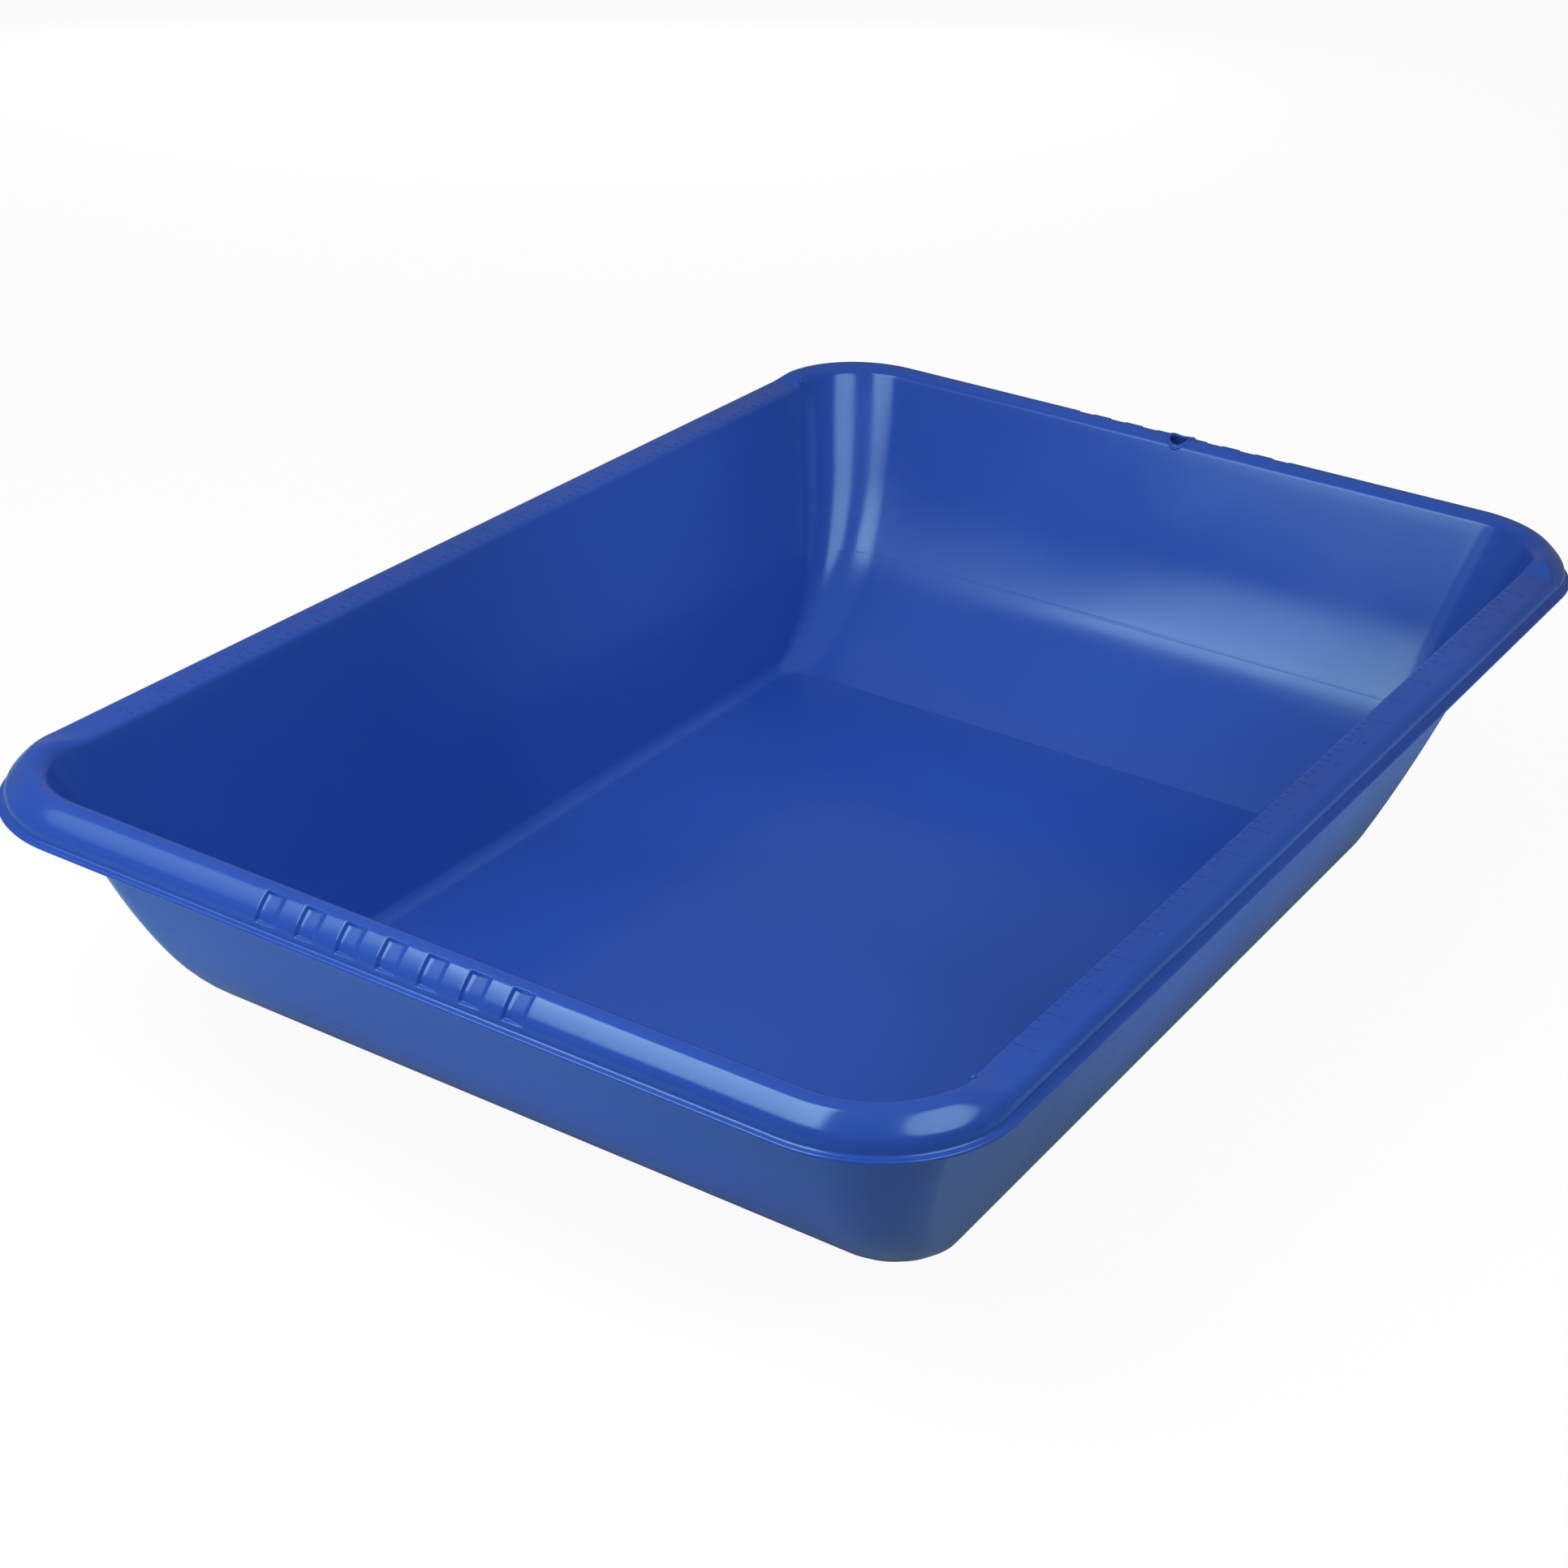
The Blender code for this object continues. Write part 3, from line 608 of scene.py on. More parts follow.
class Nodes:
    """Short calls for building a node tree. A node that is given as a value stands for its first output."""

    def __init__(self, tree):
        self.tree = tree

    def add(self, kind, **values):
        """A new node with its own settings."""
        node = self.tree.nodes.new(kind)
        for name, value in values.items():
            setattr(node, name, value)
        return node

    def put(self, socket, value):
        """Links a socket to an output, or sets its plain value."""
        if isinstance(value, bpy.types.Node):
            value = value.outputs[0]
        if isinstance(value, bpy.types.NodeSocket):
            self.tree.links.new(value, socket)
        else:
            socket.default_value = value

    def feed(self, node, **inputs):
        """Fills a node's inputs by their names, with an underscore for each space."""
        for name, value in inputs.items():
            self.put(node.inputs[name.replace("_", " ")], value)
        return node

    def make(self, kind, **inputs):
        return self.feed(self.add(kind), **inputs)

    def math(self, operation, *values):
        node = self.add("ShaderNodeMath", operation=operation)
        for socket, value in zip(node.inputs, values):
            self.put(socket, value)
        return node.outputs[0]

    def ramp(self, value, low, high, to_low=0.0, to_high=1.0, soft=True):
        node = self.add("ShaderNodeMapRange", interpolation_type="SMOOTHSTEP" if soft else "LINEAR", clamp=True)
        for socket, entry in zip(node.inputs[:5], (value, low, high, to_low, to_high)):
            self.put(socket, entry)
        return node.outputs[0]

    def mix(self, share, first, second, blend="MIX"):
        """One colour worked into another."""
        node = self.add("ShaderNodeMix", data_type="RGBA", blend_type=blend)
        for slot, value in ((0, share), (6, first), (7, second)):
            self.put(node.inputs[slot], value)
        return node.outputs[2]

    def noise(self, place, scale, detail, roughness=0.5, distortion=0.0):
        node = self.make("ShaderNodeTexNoise", Vector=place, Scale=scale, Detail=detail)
        return self.feed(node, Roughness=roughness, Distortion=distortion).outputs["Fac"]

    def attribute(self, name, kind):
        node = self.add("GeometryNodeInputNamedAttribute", data_type=kind)
        return self.feed(node, Name=name).outputs["Attribute"]


def tree_with_inputs(name, values):
    """A Geometry Nodes tree with a geometry in and out, and an input for each named value."""
    kinds = {float: "Float", int: "Int", bpy.types.Material: "Material"}
    tree = bpy.data.node_groups.new(name, "GeometryNodeTree")
    tree.interface.new_socket("Geometry", in_out="INPUT", socket_type="NodeSocketGeometry")
    for label, value in values.items():
        tree.interface.new_socket(label, in_out="INPUT", socket_type="NodeSocket" + kinds[type(value)])
    tree.interface.new_socket("Geometry", in_out="OUTPUT", socket_type="NodeSocketGeometry")
    nodes = Nodes(tree)
    return nodes, nodes.add("NodeGroupInput").outputs, nodes.add("NodeGroupOutput").inputs


def close_tree(nodes, geometry, material, result):
    """Ends a tree with real geometry that carries its material."""
    solid = nodes.make("GeometryNodeRealizeInstances", Geometry=geometry)
    nodes.put(result[0], nodes.make("GeometryNodeSetMaterial", Geometry=solid, Material=material))


def evaluated_mesh(item):
    """A plain mesh of what an object's modifiers or curve make."""
    bpy.context.view_layer.update()
    return bpy.data.meshes.new_from_object(item.evaluated_get(bpy.context.evaluated_depsgraph_get()))


def bake(item, step):
    """Turns what a modifier makes of an object into its plain mesh."""
    mesh = evaluated_mesh(item)
    item.modifiers.remove(step)
    old = item.data
    item.data = mesh
    bpy.data.meshes.remove(old)
    mesh.name = item.name
    if not mesh.polygons:
        raise RuntimeError(item.name + ": the step left no faces")


def run_tree(item, nodes, values):
    """Gives the object the tree with its values and keeps what comes out."""
    step = item.modifiers.new(nodes.tree.name, "NODES")
    step.node_group = nodes.tree
    for socket in nodes.tree.interface.items_tree:
        if socket.item_type == "SOCKET" and socket.in_out == "INPUT" and socket.name in values:
            step[socket.identifier] = values[socket.name]
    bake(item, step)


def new_object(name, data):
    made = bpy.data.objects.new(name, data)
    bpy.context.scene.collection.objects.link(made)
    return made


def settle(item, *nodes):
    """Ties a finished piece to the frame."""
    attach(item, BODY)
    if nodes:
        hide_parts(*nodes)
    return item


def shader_group(name, inputs, outputs):
    """A shader group with plain number sockets, and the object's own coordinates to start from."""
    tree = bpy.data.node_groups.new(name, "ShaderNodeTree")
    for label, value in inputs:
        tree.interface.new_socket(label, in_out="INPUT", socket_type="NodeSocketFloat").default_value = value
    for label in outputs:
        tree.interface.new_socket(label, in_out="OUTPUT", socket_type="NodeSocketFloat")
    nodes = Nodes(tree)
    place = nodes.add("ShaderNodeTexCoord").outputs["Object"]
    return nodes, nodes.add("NodeGroupInput").outputs, nodes.add("NodeGroupOutput").inputs, place


def skin_group():
    """Shader group for the moulded skin: a faint orange peel, hazy patches and soft flow lines."""
    inputs = (("Peel size", 260.0), ("Haze size", 9.0), ("Flow size", 5.0))
    nodes, given, result, place = shader_group("Moulded skin", inputs, ("Height", "Haze", "Flow"))
    fine = nodes.math("MULTIPLY", nodes.noise(place, given["Peel size"], 2.0), 0.4)
    wave = nodes.noise(place, 28.0, 1.0, 0.4)
    nodes.put(result["Height"], nodes.math("MULTIPLY_ADD", wave, 1.6, fine))
    haze = nodes.noise(place, given["Haze size"], 5.0, 0.62)
    nodes.put(result["Haze"], nodes.ramp(haze, 0.42, 0.72))
    squeezed = nodes.make("ShaderNodeMapping", Vector=place, Scale=(1.0, 1.0, 0.35))
    flow = nodes.noise(squeezed, given["Flow size"], 3.0, 0.55, 0.6)
    nodes.put(result["Flow"], nodes.ramp(flow, 0.35, 0.68))
    return nodes.tree


def scuff_group():
    """Shader group for fine rub marks: thin, long, sparse streaks in two directions."""
    nodes, given, result, place = shader_group("Rub marks", (("Density", 0.5),), ("Mask",))
    masks = []
    for turn in (0.35, 1.9):
        aimed = nodes.make("ShaderNodeMapping", Vector=place, Rotation=(0.2, 0.1, turn), Scale=(9.0, 260.0, 60.0))
        masks.append(nodes.ramp(nodes.noise(aimed, 1.0, 2.0, 0.6), 0.66, 0.76))
    patches = nodes.ramp(nodes.noise(place, 11.0, 2.0), 0.45, 0.7)
    sparse = nodes.math("MULTIPLY", nodes.math("MAXIMUM", *masks), patches)
    nodes.put(result["Mask"], nodes.math("MULTIPLY", sparse, given["Density"]))
    return nodes.tree


def moulded_plastic(name, finish):
    """Glossy blue polypropylene with the skin of a polished mould."""
    made = bpy.data.materials.new(name)
    made.use_nodes = True
    nodes = Nodes(made.node_tree)
    skin = nodes.add("ShaderNodeGroup", node_tree=skin_group()).outputs
    rubs = nodes.add("ShaderNodeGroup", node_tree=scuff_group()).outputs
    tint = nodes.mix(skin["Flow"], (*finish.base, 1.0), (*finish.thin, 1.0))
    dull = nodes.math("MULTIPLY_ADD", rubs["Mask"], 0.35, skin["Haze"])
    rough = nodes.ramp(dull, 0.0, 1.2, finish.gloss, finish.haze, soft=False)
    bump = nodes.make("ShaderNodeBump", Strength=finish.peel, Distance=0.0006, Height=skin["Height"])
    nodes.feed(made.node_tree.nodes["Principled BSDF"], Base_Color=tint, Roughness=rough, Normal=bump, Metallic=0.0,
               IOR=finish.ior, Specular_Tint=(*finish.sheen, 1.0))
    return made


def finish_material():
    name = "blue_moulded_plastic"
    if name in bpy.data.materials:
        return bpy.data.materials[name]
    return moulded_plastic(name, bpy.context.scene.tub_plastic)


def plastic_piece(name, mesh):
    """A finished piece in the tub's own plastic."""
    mesh.materials.append(finish_material())
    return settle(new_object(name, mesh))


class TUB_OT_moulding(bpy.types.Operator):
    """Build the one-piece shell of the tub, with its rolled rim and the flat lands for the scales"""

    bl_idname = "tub.moulding"
    bl_label = "Build the moulding"

    def execute(self, context):
        scene = context.scene
        form = Moulding(scene.tub_moulding, scene.tub_grips)
        shell = new_object("tub_shell", form.mesh("tub_shell"))
        if len(shell.data.polygons) < 1000:
            raise RuntimeError("the shell has too few faces")
        return {"FINISHED"}


class TUB_OT_finger_grips(bpy.types.Operator):
    """Press the rows of finger grips into the shoulders of both end rims"""

    bl_idname = "tub.finger_grips"
    bl_label = "Press the finger grips"

    def tree(self, values):
        nodes, value, result = tree_with_inputs("Finger grips", values)
        axes = nodes.make("ShaderNodeSeparateXYZ", Vector=nodes.add("GeometryNodeInputPosition"))
        reach = nodes.attribute("grip_reach", "FLOAT")
        way = nodes.attribute("grip_out", "FLOAT_VECTOR")
        lead = 0.0004
        along = nodes.math("SUBTRACT", axes.outputs["X"], value["First"])
        index = nodes.math("FLOOR", nodes.math("DIVIDE", nodes.math("ADD", along, lead), value["Pitch"]))
        local = nodes.math("SUBTRACT", along, nodes.math("MULTIPLY", index, value["Pitch"]))
        rise = nodes.ramp(local, 0.0, value["Steep run"])
        fall_start = nodes.math("SUBTRACT", value["Length"], value["Easy run"])
        fall = nodes.ramp(local, fall_start, value["Length"], 1.0, 0.0)
        far = nodes.math("GREATER_THAN", axes.outputs["Y"], 0.0)
        shift = nodes.math("MULTIPLY", far, value["Far shift"])
        inner_start = nodes.math("SUBTRACT", value["Inner reach"], shift)
        inner = nodes.ramp(reach, inner_start, nodes.math("ADD", inner_start, value["End run"]))
        outer_start = nodes.math("SUBTRACT", value["Outer reach"], value["End run"])
        outer = nodes.ramp(reach, outer_start, value["Outer reach"], 1.0, 0.0)
        middle = nodes.math("DIVIDE", nodes.math("SUBTRACT", value["Count"], 1.0), 2.0)
        started = nodes.math("GREATER_THAN", index, -0.5)
        on_row = nodes.math("MULTIPLY", started, nodes.math("LESS_THAN", index, value["Count"]))
        at_hole = nodes.math("MULTIPLY", far, nodes.math("COMPARE", index, middle, 0.25))
        allowed = nodes.math("MULTIPLY", on_row, nodes.math("SUBTRACT", 1.0, at_hole))
        press = nodes.ramp(local, 0.0, value["Length"], value["Deep"], value["Shallow"], soft=False)
        for share in (rise, fall, inner, outer, allowed):
            press = nodes.math("MULTIPLY", press, share)
        offset = nodes.add("ShaderNodeVectorMath", operation="SCALE")
        nodes.feed(offset, Vector=way, Scale=nodes.math("MULTIPLY", press, -1.0))
        moved = nodes.make("GeometryNodeSetPosition", Geometry=value["Geometry"], Offset=offset)
        close_tree(nodes, moved, value["Material"], result)
        return nodes

    def execute(self, context):
        shell = bpy.data.objects["tub_shell"]
        g = context.scene.tub_grips
        values = {
            "First": first_grip(g), "Pitch": g.pitch, "Length": g.length, "Deep": g.deep, "Shallow": g.shallow,
            "Steep run": g.steep_run, "Easy run": g.easy_run, "Inner reach": g.inner_reach,
            "Far shift": g.far_shift, "Outer reach": g.outer_reach, "End run": g.end_run, "Count": g.count,
            "Material": finish_material()}
        run_tree(shell, self.tree(values), values)
        for name in ("grip_reach", "grip_out"):
            shell.data.attributes.remove(shell.data.attributes[name])
        return {"FINISHED"}


class TUB_OT_hang_hole(bpy.types.Operator):
    """Cut the hang hole through the far rim and lay its collar round it"""

    bl_idname = "tub.hang_hole"
    bl_label = "Cut the hang hole"

    def execute(self, context):
        scene = context.scene
        hole, sizes = scene.tub_hole, scene.tub_moulding
        shell = bpy.data.objects["tub_shell"]
        form = Moulding(sizes, scene.tub_grips)
        crown_y = sizes.length / 2 - sizes.bead_inset
        before = len(shell.data.polygons)
        thin, hollow_length, plug_length = sizes.crown_radius - hole.edge, 0.018, 0.015
        under = Matrix.Translation((0.0, crown_y, sizes.height - sizes.crown_radius))
        self.cut(shell, thin, hollow_length, under @ Matrix.Rotation(math.pi / 2, 4, "Y"))
        lean = math.asin(hole.inward / sizes.bead_radius)
        down = Matrix.Translation((0.0, crown_y - hole.inward, sizes.height)) @ Matrix.Rotation(lean, 4, "X")
        self.cut(shell, hole.diameter / 2, plug_length, down)
        if not before * 0.9 < len(shell.data.polygons) < before * 1.2:
            raise RuntimeError("the hang hole didn't cut cleanly")
        shell.data.set_sharp_from_angle(angle=math.radians(42))
        settle(shell, *NODES)
        plastic_piece("hang_collar", self.collar(hole, form, crown_y))
        return {"FINISHED"}

    def cut(self, shell, radius, depth, place):
        """Takes one round plug out of the shell."""
        shape = bmesh.new()
        bmesh.ops.create_cone(shape, cap_ends=True, segments=40, radius1=radius, radius2=radius, depth=depth,
                              matrix=place)
        plug = new_object("hang_plug", mesh_from(shape, "hang_plug", smooth=False))
        step = shell.modifiers.new("Hang hole", "BOOLEAN")
        step.operation, step.solver, step.object = "DIFFERENCE", "EXACT", plug
        bake(shell, step)
        bpy.data.objects.remove(plug)

    def collar(self, hole, form, crown_y):
        """A round ring that follows the roll's curve, with the small spur beside it."""
        shape = bmesh.new()
        steps, around, sunk = 48, 12, 0.25
        rings = []
        for k in range(steps):
            turn = math.tau * k / steps
            side = Vector((math.cos(turn), math.sin(turn), 0.0))
            flat = side * (hole.collar / 2) - Vector((0.0, hole.inward, 0.0))
            height, slope = form.crown_surface(flat.y)
            normal = Vector((0.0, slope.x, slope.y))
            middle = Vector((flat.x, crown_y + flat.y, height)) - normal * (hole.collar_round * sunk)
            across = (side - normal * side.dot(normal)).normalized()
            ring = []
            for j in range(around):
                angle = math.tau * j / around
                step = across * math.cos(angle) + normal * math.sin(angle)
                ring.append(shape.verts.new(middle + step * hole.collar_round))
            rings.append(ring)
        for ring, after in zip(rings, rings[1:] + rings[:1]):
            for j in range(around):
                shape.faces.new((ring[j], ring[(j + 1) % around], after[(j + 1) % around], after[j]))
        height, slope = form.crown_surface(hole.spur_out)
        spur = Matrix.Translation((hole.spur_side, crown_y + hole.spur_out, height))
        spur = spur @ Matrix.Rotation(-math.asin(slope.x), 4, "X")
        spur = spur @ Matrix.Diagonal((hole.spur_length, hole.spur_round, hole.spur_round, 1.0))
        bmesh.ops.create_uvsphere(shape, u_segments=16, v_segments=10, radius=1.0, matrix=spur)
        bmesh.ops.recalc_face_normals(shape, faces=shape.faces)
        return mesh_from(shape, "hang_collar")


class TUB_OT_land_nubs(bpy.types.Operator):
    """Set the small moulded nub at one end of each land"""

    bl_idname = "tub.land_nubs"
    bl_label = "Set the land nubs"

    def execute(self, context):
        sizes, nub = context.scene.tub_moulding, context.scene.tub_nubs
        size = Matrix.Diagonal((nub.across, nub.along, nub.rise, 1.0))
        shape = bmesh.new()
        for sign, drop in ((1, nub.near_drop), (-1, nub.far_drop)):
            middle = Vector((sign * nub.side, -sign * (sizes.land_half + nub.past), sizes.height - drop))
            seat = Matrix.Translation(middle) @ Matrix.Rotation(-sign * nub.lean, 4, "Y")
            bmesh.ops.create_uvsphere(shape, u_segments=20, v_segments=12, radius=1.0, matrix=seat @ size)
        plastic_piece("land_nubs", mesh_from(shape, "land_nubs"))
        return {"FINISHED"}


class TUB_OT_scale_marks(bpy.types.Operator):
    """Raise the inch, half-inch and quarter-inch marks on both lands"""

    bl_idname = "tub.scale_marks"
    bl_label = "Raise the scale marks"

    def tree(self, values):
        nodes, value, result = tree_with_inputs("Scale marks", values)
        first = nodes.make("ShaderNodeCombineXYZ", X=value["Edge"], Y=value["Start"], Z=value["Foot"])
        step = nodes.make("ShaderNodeCombineXYZ", Y=value["Step"])
        line = nodes.make("GeometryNodeMeshLine", Count=value["Count"], Start_Location=first, Offset=step)
        mark = nodes.add("GeometryNodeMeshCone", fill_type="NGON")
        nodes.feed(mark, Vertices=4, Radius_Top=0.55, Radius_Bottom=math.sqrt(0.5), Depth=1.0)
        square = nodes.make("GeometryNodeTransform", Geometry=mark, Rotation=(0.0, 0.0, math.pi / 4))
        shifted = nodes.make("GeometryNodeTransform", Geometry=square, Translation=(0.5, 0.0, 0.0))
        quarter = nodes.math("MODULO", nodes.add("GeometryNodeInputIndex"), 4.0)
        long = value["Quarter mark"]
        for remainder, mark_size in ((0.0, value["Inch mark"]), (2.0, value["Half mark"])):
            on_mark = nodes.math("COMPARE", quarter, remainder, 0.25)
            more = nodes.math("SUBTRACT", mark_size, value["Quarter mark"])
            long = nodes.math("MULTIPLY_ADD", on_mark, more, long)
        size = nodes.make("ShaderNodeCombineXYZ", X=long, Y=value["Width"], Z=value["Height"])
        row = nodes.make("GeometryNodeInstanceOnPoints", Points=line, Instance=shifted, Scale=size)
        made = nodes.make("GeometryNodeRealizeInstances", Geometry=row)
        axes = nodes.make("ShaderNodeSeparateXYZ", Vector=nodes.add("GeometryNodeInputPosition"))
        share = nodes.math("DIVIDE", axes.outputs["Y"], value["Bow half"])
        ease = nodes.math("SUBTRACT", 1.0, nodes.math("MULTIPLY", share, share))
        bow = nodes.make("ShaderNodeCombineXYZ", X=nodes.math("MULTIPLY", ease, value["Bow"]))
        bowed = nodes.make("GeometryNodeSetPosition", Geometry=made, Offset=bow)
        turn = nodes.make("ShaderNodeCombineXYZ", Z=value["Turn"])
        faced = nodes.make("GeometryNodeTransform", Geometry=bowed, Rotation=turn)
        close_tree(nodes, faced, value["Material"], result)
        return nodes

    def execute(self, context):
        s, m = context.scene.tub_scale, context.scene.tub_moulding
        values = {
            "Start": s.start, "Step": s.inch / 4, "Edge": s.edge, "Inch mark": s.inch_mark,
            "Half mark": s.half_mark, "Quarter mark": s.quarter_mark, "Width": s.mark_width,
            "Height": s.raise_by + s.root, "Foot": m.height - m.land_drop - s.root,
            "Bow": m.side_bow * (s.edge / (m.width / 2)) ** BOW_POWER, "Bow half": m.length / 2 - m.lip_corner,
            "Count": s.inches * 4 + 1, "Turn": 0.0, "Material": finish_material()}
        nodes = self.tree(values)
        for name, turn in (("scale_marks_right", 0.0), ("scale_marks_left", math.pi)):
            item = new_object(name, bpy.data.meshes.new(name))
            run_tree(item, nodes, {**values, "Turn": turn})
            settle(item)
        return {"FINISHED"}


class TUB_OT_scale_numbers(bpy.types.Operator):
    """Raise the plain numbers beside the inch marks on both lands"""

    bl_idname = "tub.scale_numbers"
    bl_label = "Raise the scale numbers"

    def figure(self, text, height, deep):
        """A mesh of one number, thinned a little and as deep as it stands up."""
        figure_share, thinned = 0.70, 0.008
        curve = bpy.data.curves.new("figure", "FONT")
        curve.body = text
        curve.size = height / figure_share
        curve.align_x = curve.align_y = "CENTER"
        curve.extrude = deep
        curve.resolution_u = 4
        curve.offset = -height * thinned
        item = new_object("figure", curve)
        mesh = evaluated_mesh(item)
        bpy.data.objects.remove(item)
        bpy.data.curves.remove(curve)
        return mesh

    def execute(self, context):
        s, m = context.scene.tub_scale, context.scene.tub_moulding
        land, half, weld = m.height - m.land_drop, m.length / 2 - m.lip_corner, 0.000002
        for name, turn in (("scale_numbers_right", 0.0), ("scale_numbers_left", math.pi)):
            shape = bmesh.new()
            for number in range(s.inches + 1):
                y = s.start + number * s.inch
                bow = m.side_bow * (1.0 - (y / half) ** 2) * (s.number_middle / (m.width / 2)) ** BOW_POWER
                mesh = self.figure(str(number), s.number_height, s.raise_by)
                place = Matrix.Translation((s.number_middle + bow, y, land)) @ Matrix.Rotation(math.pi / 2, 4, "Z")
                mesh.transform(Matrix.Rotation(turn, 4, "Z") @ place)
                shape.from_mesh(mesh)
                bpy.data.meshes.remove(mesh)
            bmesh.ops.remove_doubles(shape, verts=shape.verts, dist=weld)
            bmesh.ops.recalc_face_normals(shape, faces=shape.faces)
            plastic_piece(name, mesh_from(shape, name, smooth=False))
        return {"FINISHED"}


def soft_light(name, place, aim, size, watts, mirrored=True, opening=math.pi, shape="RECTANGLE"):
    """A soft panel that faces a point. A fill that isn't mirrored shows in no gloss."""
    lamp = bpy.data.lights.new(name, "AREA")
    lamp.shape = shape
    lamp.size, lamp.size_y = size
    lamp.energy = watts
    lamp.spread = opening
    made = new_object(name, lamp)
    made.location = place
    made.rotation_euler = (Vector(place) - Vector(aim)).to_track_quat("Z", "Y").to_euler()
    made.visible_camera = False
    made.visible_glossy = mirrored


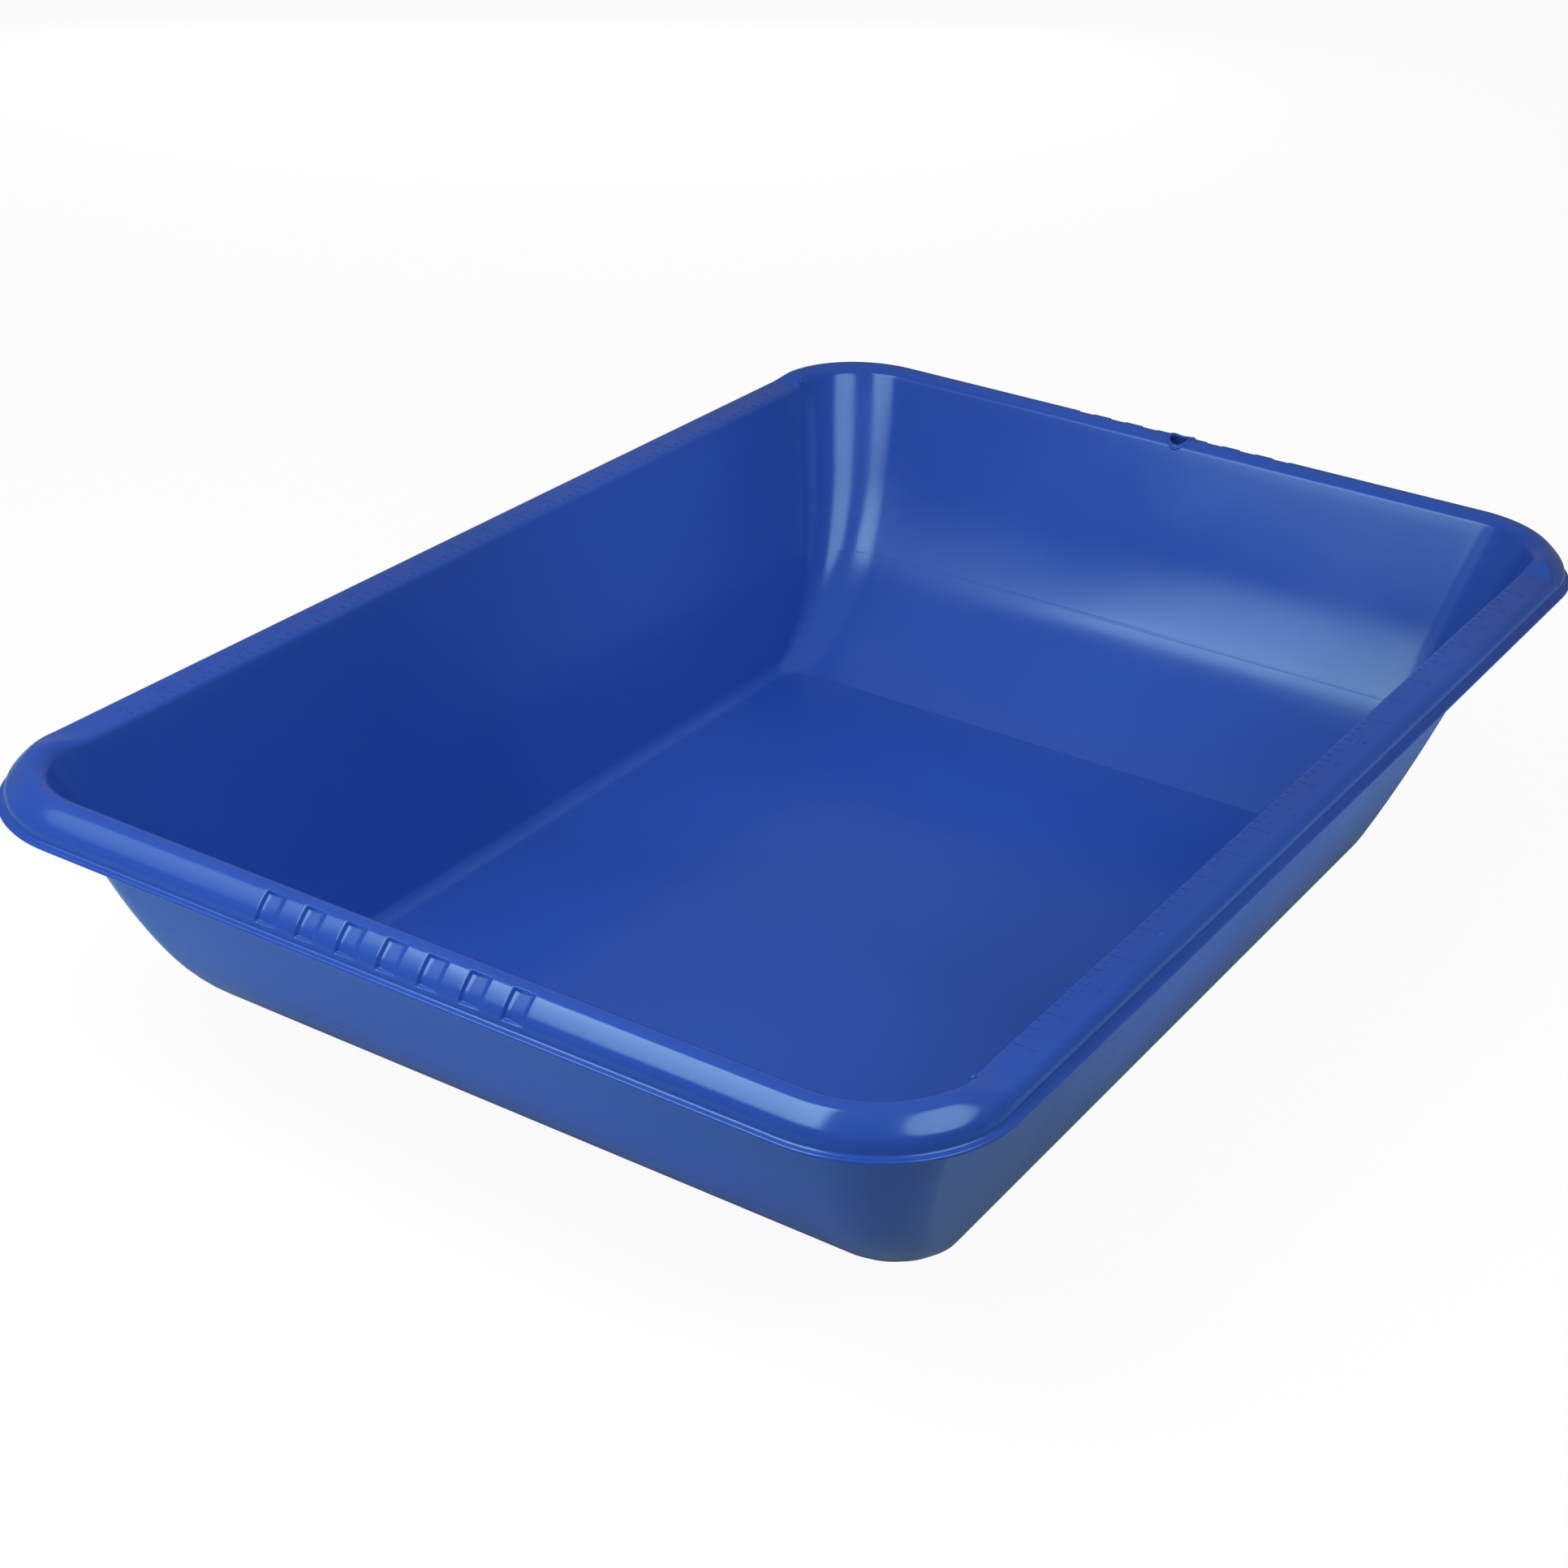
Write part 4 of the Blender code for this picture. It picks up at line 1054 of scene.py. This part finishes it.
class TUB_OT_stage(bpy.types.Operator):
    """Set the pale floor, the soft studio light and the camera"""

    bl_idname = "tub.stage"
    bl_label = "Set the stage"

    def floor(self, stage):
        shape = bmesh.new()
        under = Matrix.Translation((0.0, 0.0, -0.0004))
        bmesh.ops.create_grid(shape, x_segments=1, y_segments=1, size=6.0, matrix=under)
        item = new_object("studio_floor", mesh_from(shape, "studio_floor", smooth=False))
        paper = bpy.data.materials.new("studio_paper")
        paper.use_nodes = True
        nodes = Nodes(paper.node_tree)
        shader = paper.node_tree.nodes["Principled BSDF"]
        path = nodes.add("ShaderNodeLightPath").outputs
        grain = nodes.noise(nodes.add("ShaderNodeTexCoord").outputs["Object"], 320.0, 2.0)
        pale = [min(part * 1.03, 1.0) for part in stage.floor]
        tone = nodes.mix(grain, (*stage.floor, 1.0), (*pale, 1.0))
        # Painted reflection and shade: in gloss the floor takes the darker blue 'mirrored' colour in place of its lit
        # white. It stands in for the tub's blue bounce and its shadow on the floor.
        tone = nodes.mix(path["Is Glossy Ray"], tone, (*stage.mirrored, 1.0), "MULTIPLY")
        tone = nodes.mix(path["Is Diffuse Ray"], tone, (*[stage.bounce] * 3, 1.0), "MULTIPLY")
        nodes.feed(shader, Base_Color=tone, Roughness=0.9, Specular_IOR_Level=0.1)
        glow = nodes.make("ShaderNodeEmission", Color=(1.0, 1.0, 1.0, 1.0), Strength=1.0)
        seen = nodes.math("MULTIPLY", path["Is Camera Ray"], stage.shown)
        for ray, share in (("Is Glossy Ray", stage.glossed), ("Is Transmission Ray", stage.shown)):
            seen = nodes.math("MULTIPLY_ADD", path[ray], share, seen)
        mix = nodes.add("ShaderNodeMixShader")
        for socket, value in zip(mix.inputs, (seen, shader, glow)):
            nodes.put(socket, value)
        nodes.put(paper.node_tree.nodes["Material Output"].inputs["Surface"], mix)
        item.data.materials.append(paper)

    def surround(self, stage):
        world = bpy.data.worlds.new("studio_surround")
        world.use_nodes = True
        bpy.context.scene.world = world
        nodes = Nodes(world.node_tree)
        light = world.node_tree.nodes["Background"]
        way = nodes.make("ShaderNodeSeparateXYZ", Vector=nodes.add("ShaderNodeNewGeometry").outputs["Position"])
        even = nodes.ramp(way.outputs["Z"], 0.48, 0.92, stage.surround, stage.overhead)
        path = nodes.add("ShaderNodeLightPath").outputs
        seen = nodes.math("MAXIMUM", path["Is Camera Ray"], path["Is Transmission Ray"])
        seen = nodes.math("MULTIPLY_ADD", path["Is Glossy Ray"], stage.glossed, seen)
        left = nodes.math("MULTIPLY", nodes.math("SUBTRACT", 1.0, even), seen)
        nodes.feed(light, Color=(1.0, 1.0, 1.0, 1.0), Strength=nodes.math("ADD", even, left))

    def camera(self):
        lens = bpy.data.cameras.new("photo_camera")
        lens.sensor_width = 36.0
        lens.lens = 65.586
        lens.clip_start, lens.clip_end = 0.05, 50.0
        made = new_object("photo_camera", lens)
        place = Vector((0.59225, -1.04191, 0.69382))
        azimuth, elevation, roll = 0.5460, 0.4810, 0.0480
        right = Vector((math.cos(azimuth), math.sin(azimuth), 0.0))
        level_back = Vector((math.sin(azimuth), -math.cos(azimuth), 0.0))
        back = level_back * math.cos(elevation) + Vector((0.0, 0.0, math.sin(elevation)))
        up = back.cross(right)
        level = right * math.cos(roll) + up * math.sin(roll)
        lifted = up * math.cos(roll) - right * math.sin(roll)
        turn = Matrix((level, lifted, back)).transposed().to_4x4()
        made.matrix_world = Matrix.Translation(place) @ turn
        bpy.context.scene.camera = made

    def execute(self, context):
        scene = context.scene
        stage = scene.tub_stage
        scene.view_settings.view_transform = "Standard"
        self.floor(stage)
        self.surround(stage)
        soft_light("front_soft_light", (-0.235, -0.87, 0.96), (-0.235, -0.61, -0.006), (0.73, 0.68), stage.front,
                   opening=math.radians(120))
        soft_light("side_soft_light", (0.913, -0.245, 0.82), (0.0, 0.0, 0.10), (0.80, 0.55), stage.side,
                   shape="ELLIPSE")
        soft_light("left_soft_light", (-0.77, -0.80, 0.95), (-0.15, -0.35, 0.15), (0.36, 0.60), stage.left,
                   opening=math.radians(60))
        soft_light("inner_fill", (0.0, 0.02, 0.33), (0.0, 0.50, 0.25), (0.36, 0.16), stage.fill, mirrored=False)
        soft_light("wall_fill", (0.12, -0.05, 0.30), (-0.20, -0.05, 0.10), (0.40, 0.10), stage.wall, mirrored=False)
        soft_light("front_fill", (-0.80, -2.40, 0.70), (0.0, 0.0, 0.10), (1.2, 0.8), stage.distant, mirrored=False)
        soft_light("back_fill", (-1.20, 1.40, 0.30), (0.0, 0.10, 0.06), (1.0, 0.4), stage.back, mirrored=False)
        lifts = (("front_lift", -0.24, -0.48, (0.78, 0.36)), ("side_lift", 0.385, 0.15, (0.33, 0.54)))
        for name, x, y, size in lifts:
            soft_light(name, (x, y, 0.004), (x, y, 1.0), size, stage.lift, mirrored=False)
        self.camera()
        return {"FINISHED"}


class TUB_PT_sidebar(bpy.types.Panel):
    """Lists the steps that build the tub"""

    bl_idname = "TUB_PT_sidebar"
    bl_label = "Utility tub"
    bl_space_type = "VIEW_3D"
    bl_region_type = "UI"
    bl_category = "Tub"

    def draw(self, context):
        for step in STEPS:
            self.layout.operator(step.bl_idname)
        for name in GROUPS:
            box = self.layout.box()
            group = getattr(context.scene, name)
            for key in group.__annotations__:
                box.prop(group, key)


STEPS = (TUB_OT_moulding, TUB_OT_finger_grips, TUB_OT_hang_hole, TUB_OT_land_nubs, TUB_OT_scale_marks,
         TUB_OT_scale_numbers, TUB_OT_stage)
GROUPS = {"tub_moulding": TubMoulding, "tub_grips": TubGrips, "tub_hole": TubHole, "tub_nubs": TubNubs,
          "tub_scale": TubScale, "tub_plastic": TubPlastic, "tub_stage": TubStage}


def register():
    for name, group in GROUPS.items():
        bpy.utils.register_class(group)
        setattr(bpy.types.Scene, name, PointerProperty(type=group))
    for step in STEPS:
        bpy.utils.register_class(step)
    bpy.utils.register_class(TUB_PT_sidebar)


def unregister():
    bpy.utils.unregister_class(TUB_PT_sidebar)
    for step in reversed(STEPS):
        bpy.utils.unregister_class(step)
    for name, group in GROUPS.items():
        delattr(bpy.types.Scene, name)
        bpy.utils.unregister_class(group)


def main():
    for item in list(bpy.data.objects):
        if item.type in {"LIGHT", "CAMERA"}:
            bpy.data.objects.remove(item)
    register()
    bpy.ops.tub.moulding()
    bpy.ops.tub.finger_grips()
    bpy.ops.tub.hang_hole()
    bpy.ops.tub.land_nubs()
    bpy.ops.tub.scale_marks()
    bpy.ops.tub.scale_numbers()
    bpy.ops.tub.stage()


if __name__ == "__main__":
    main()
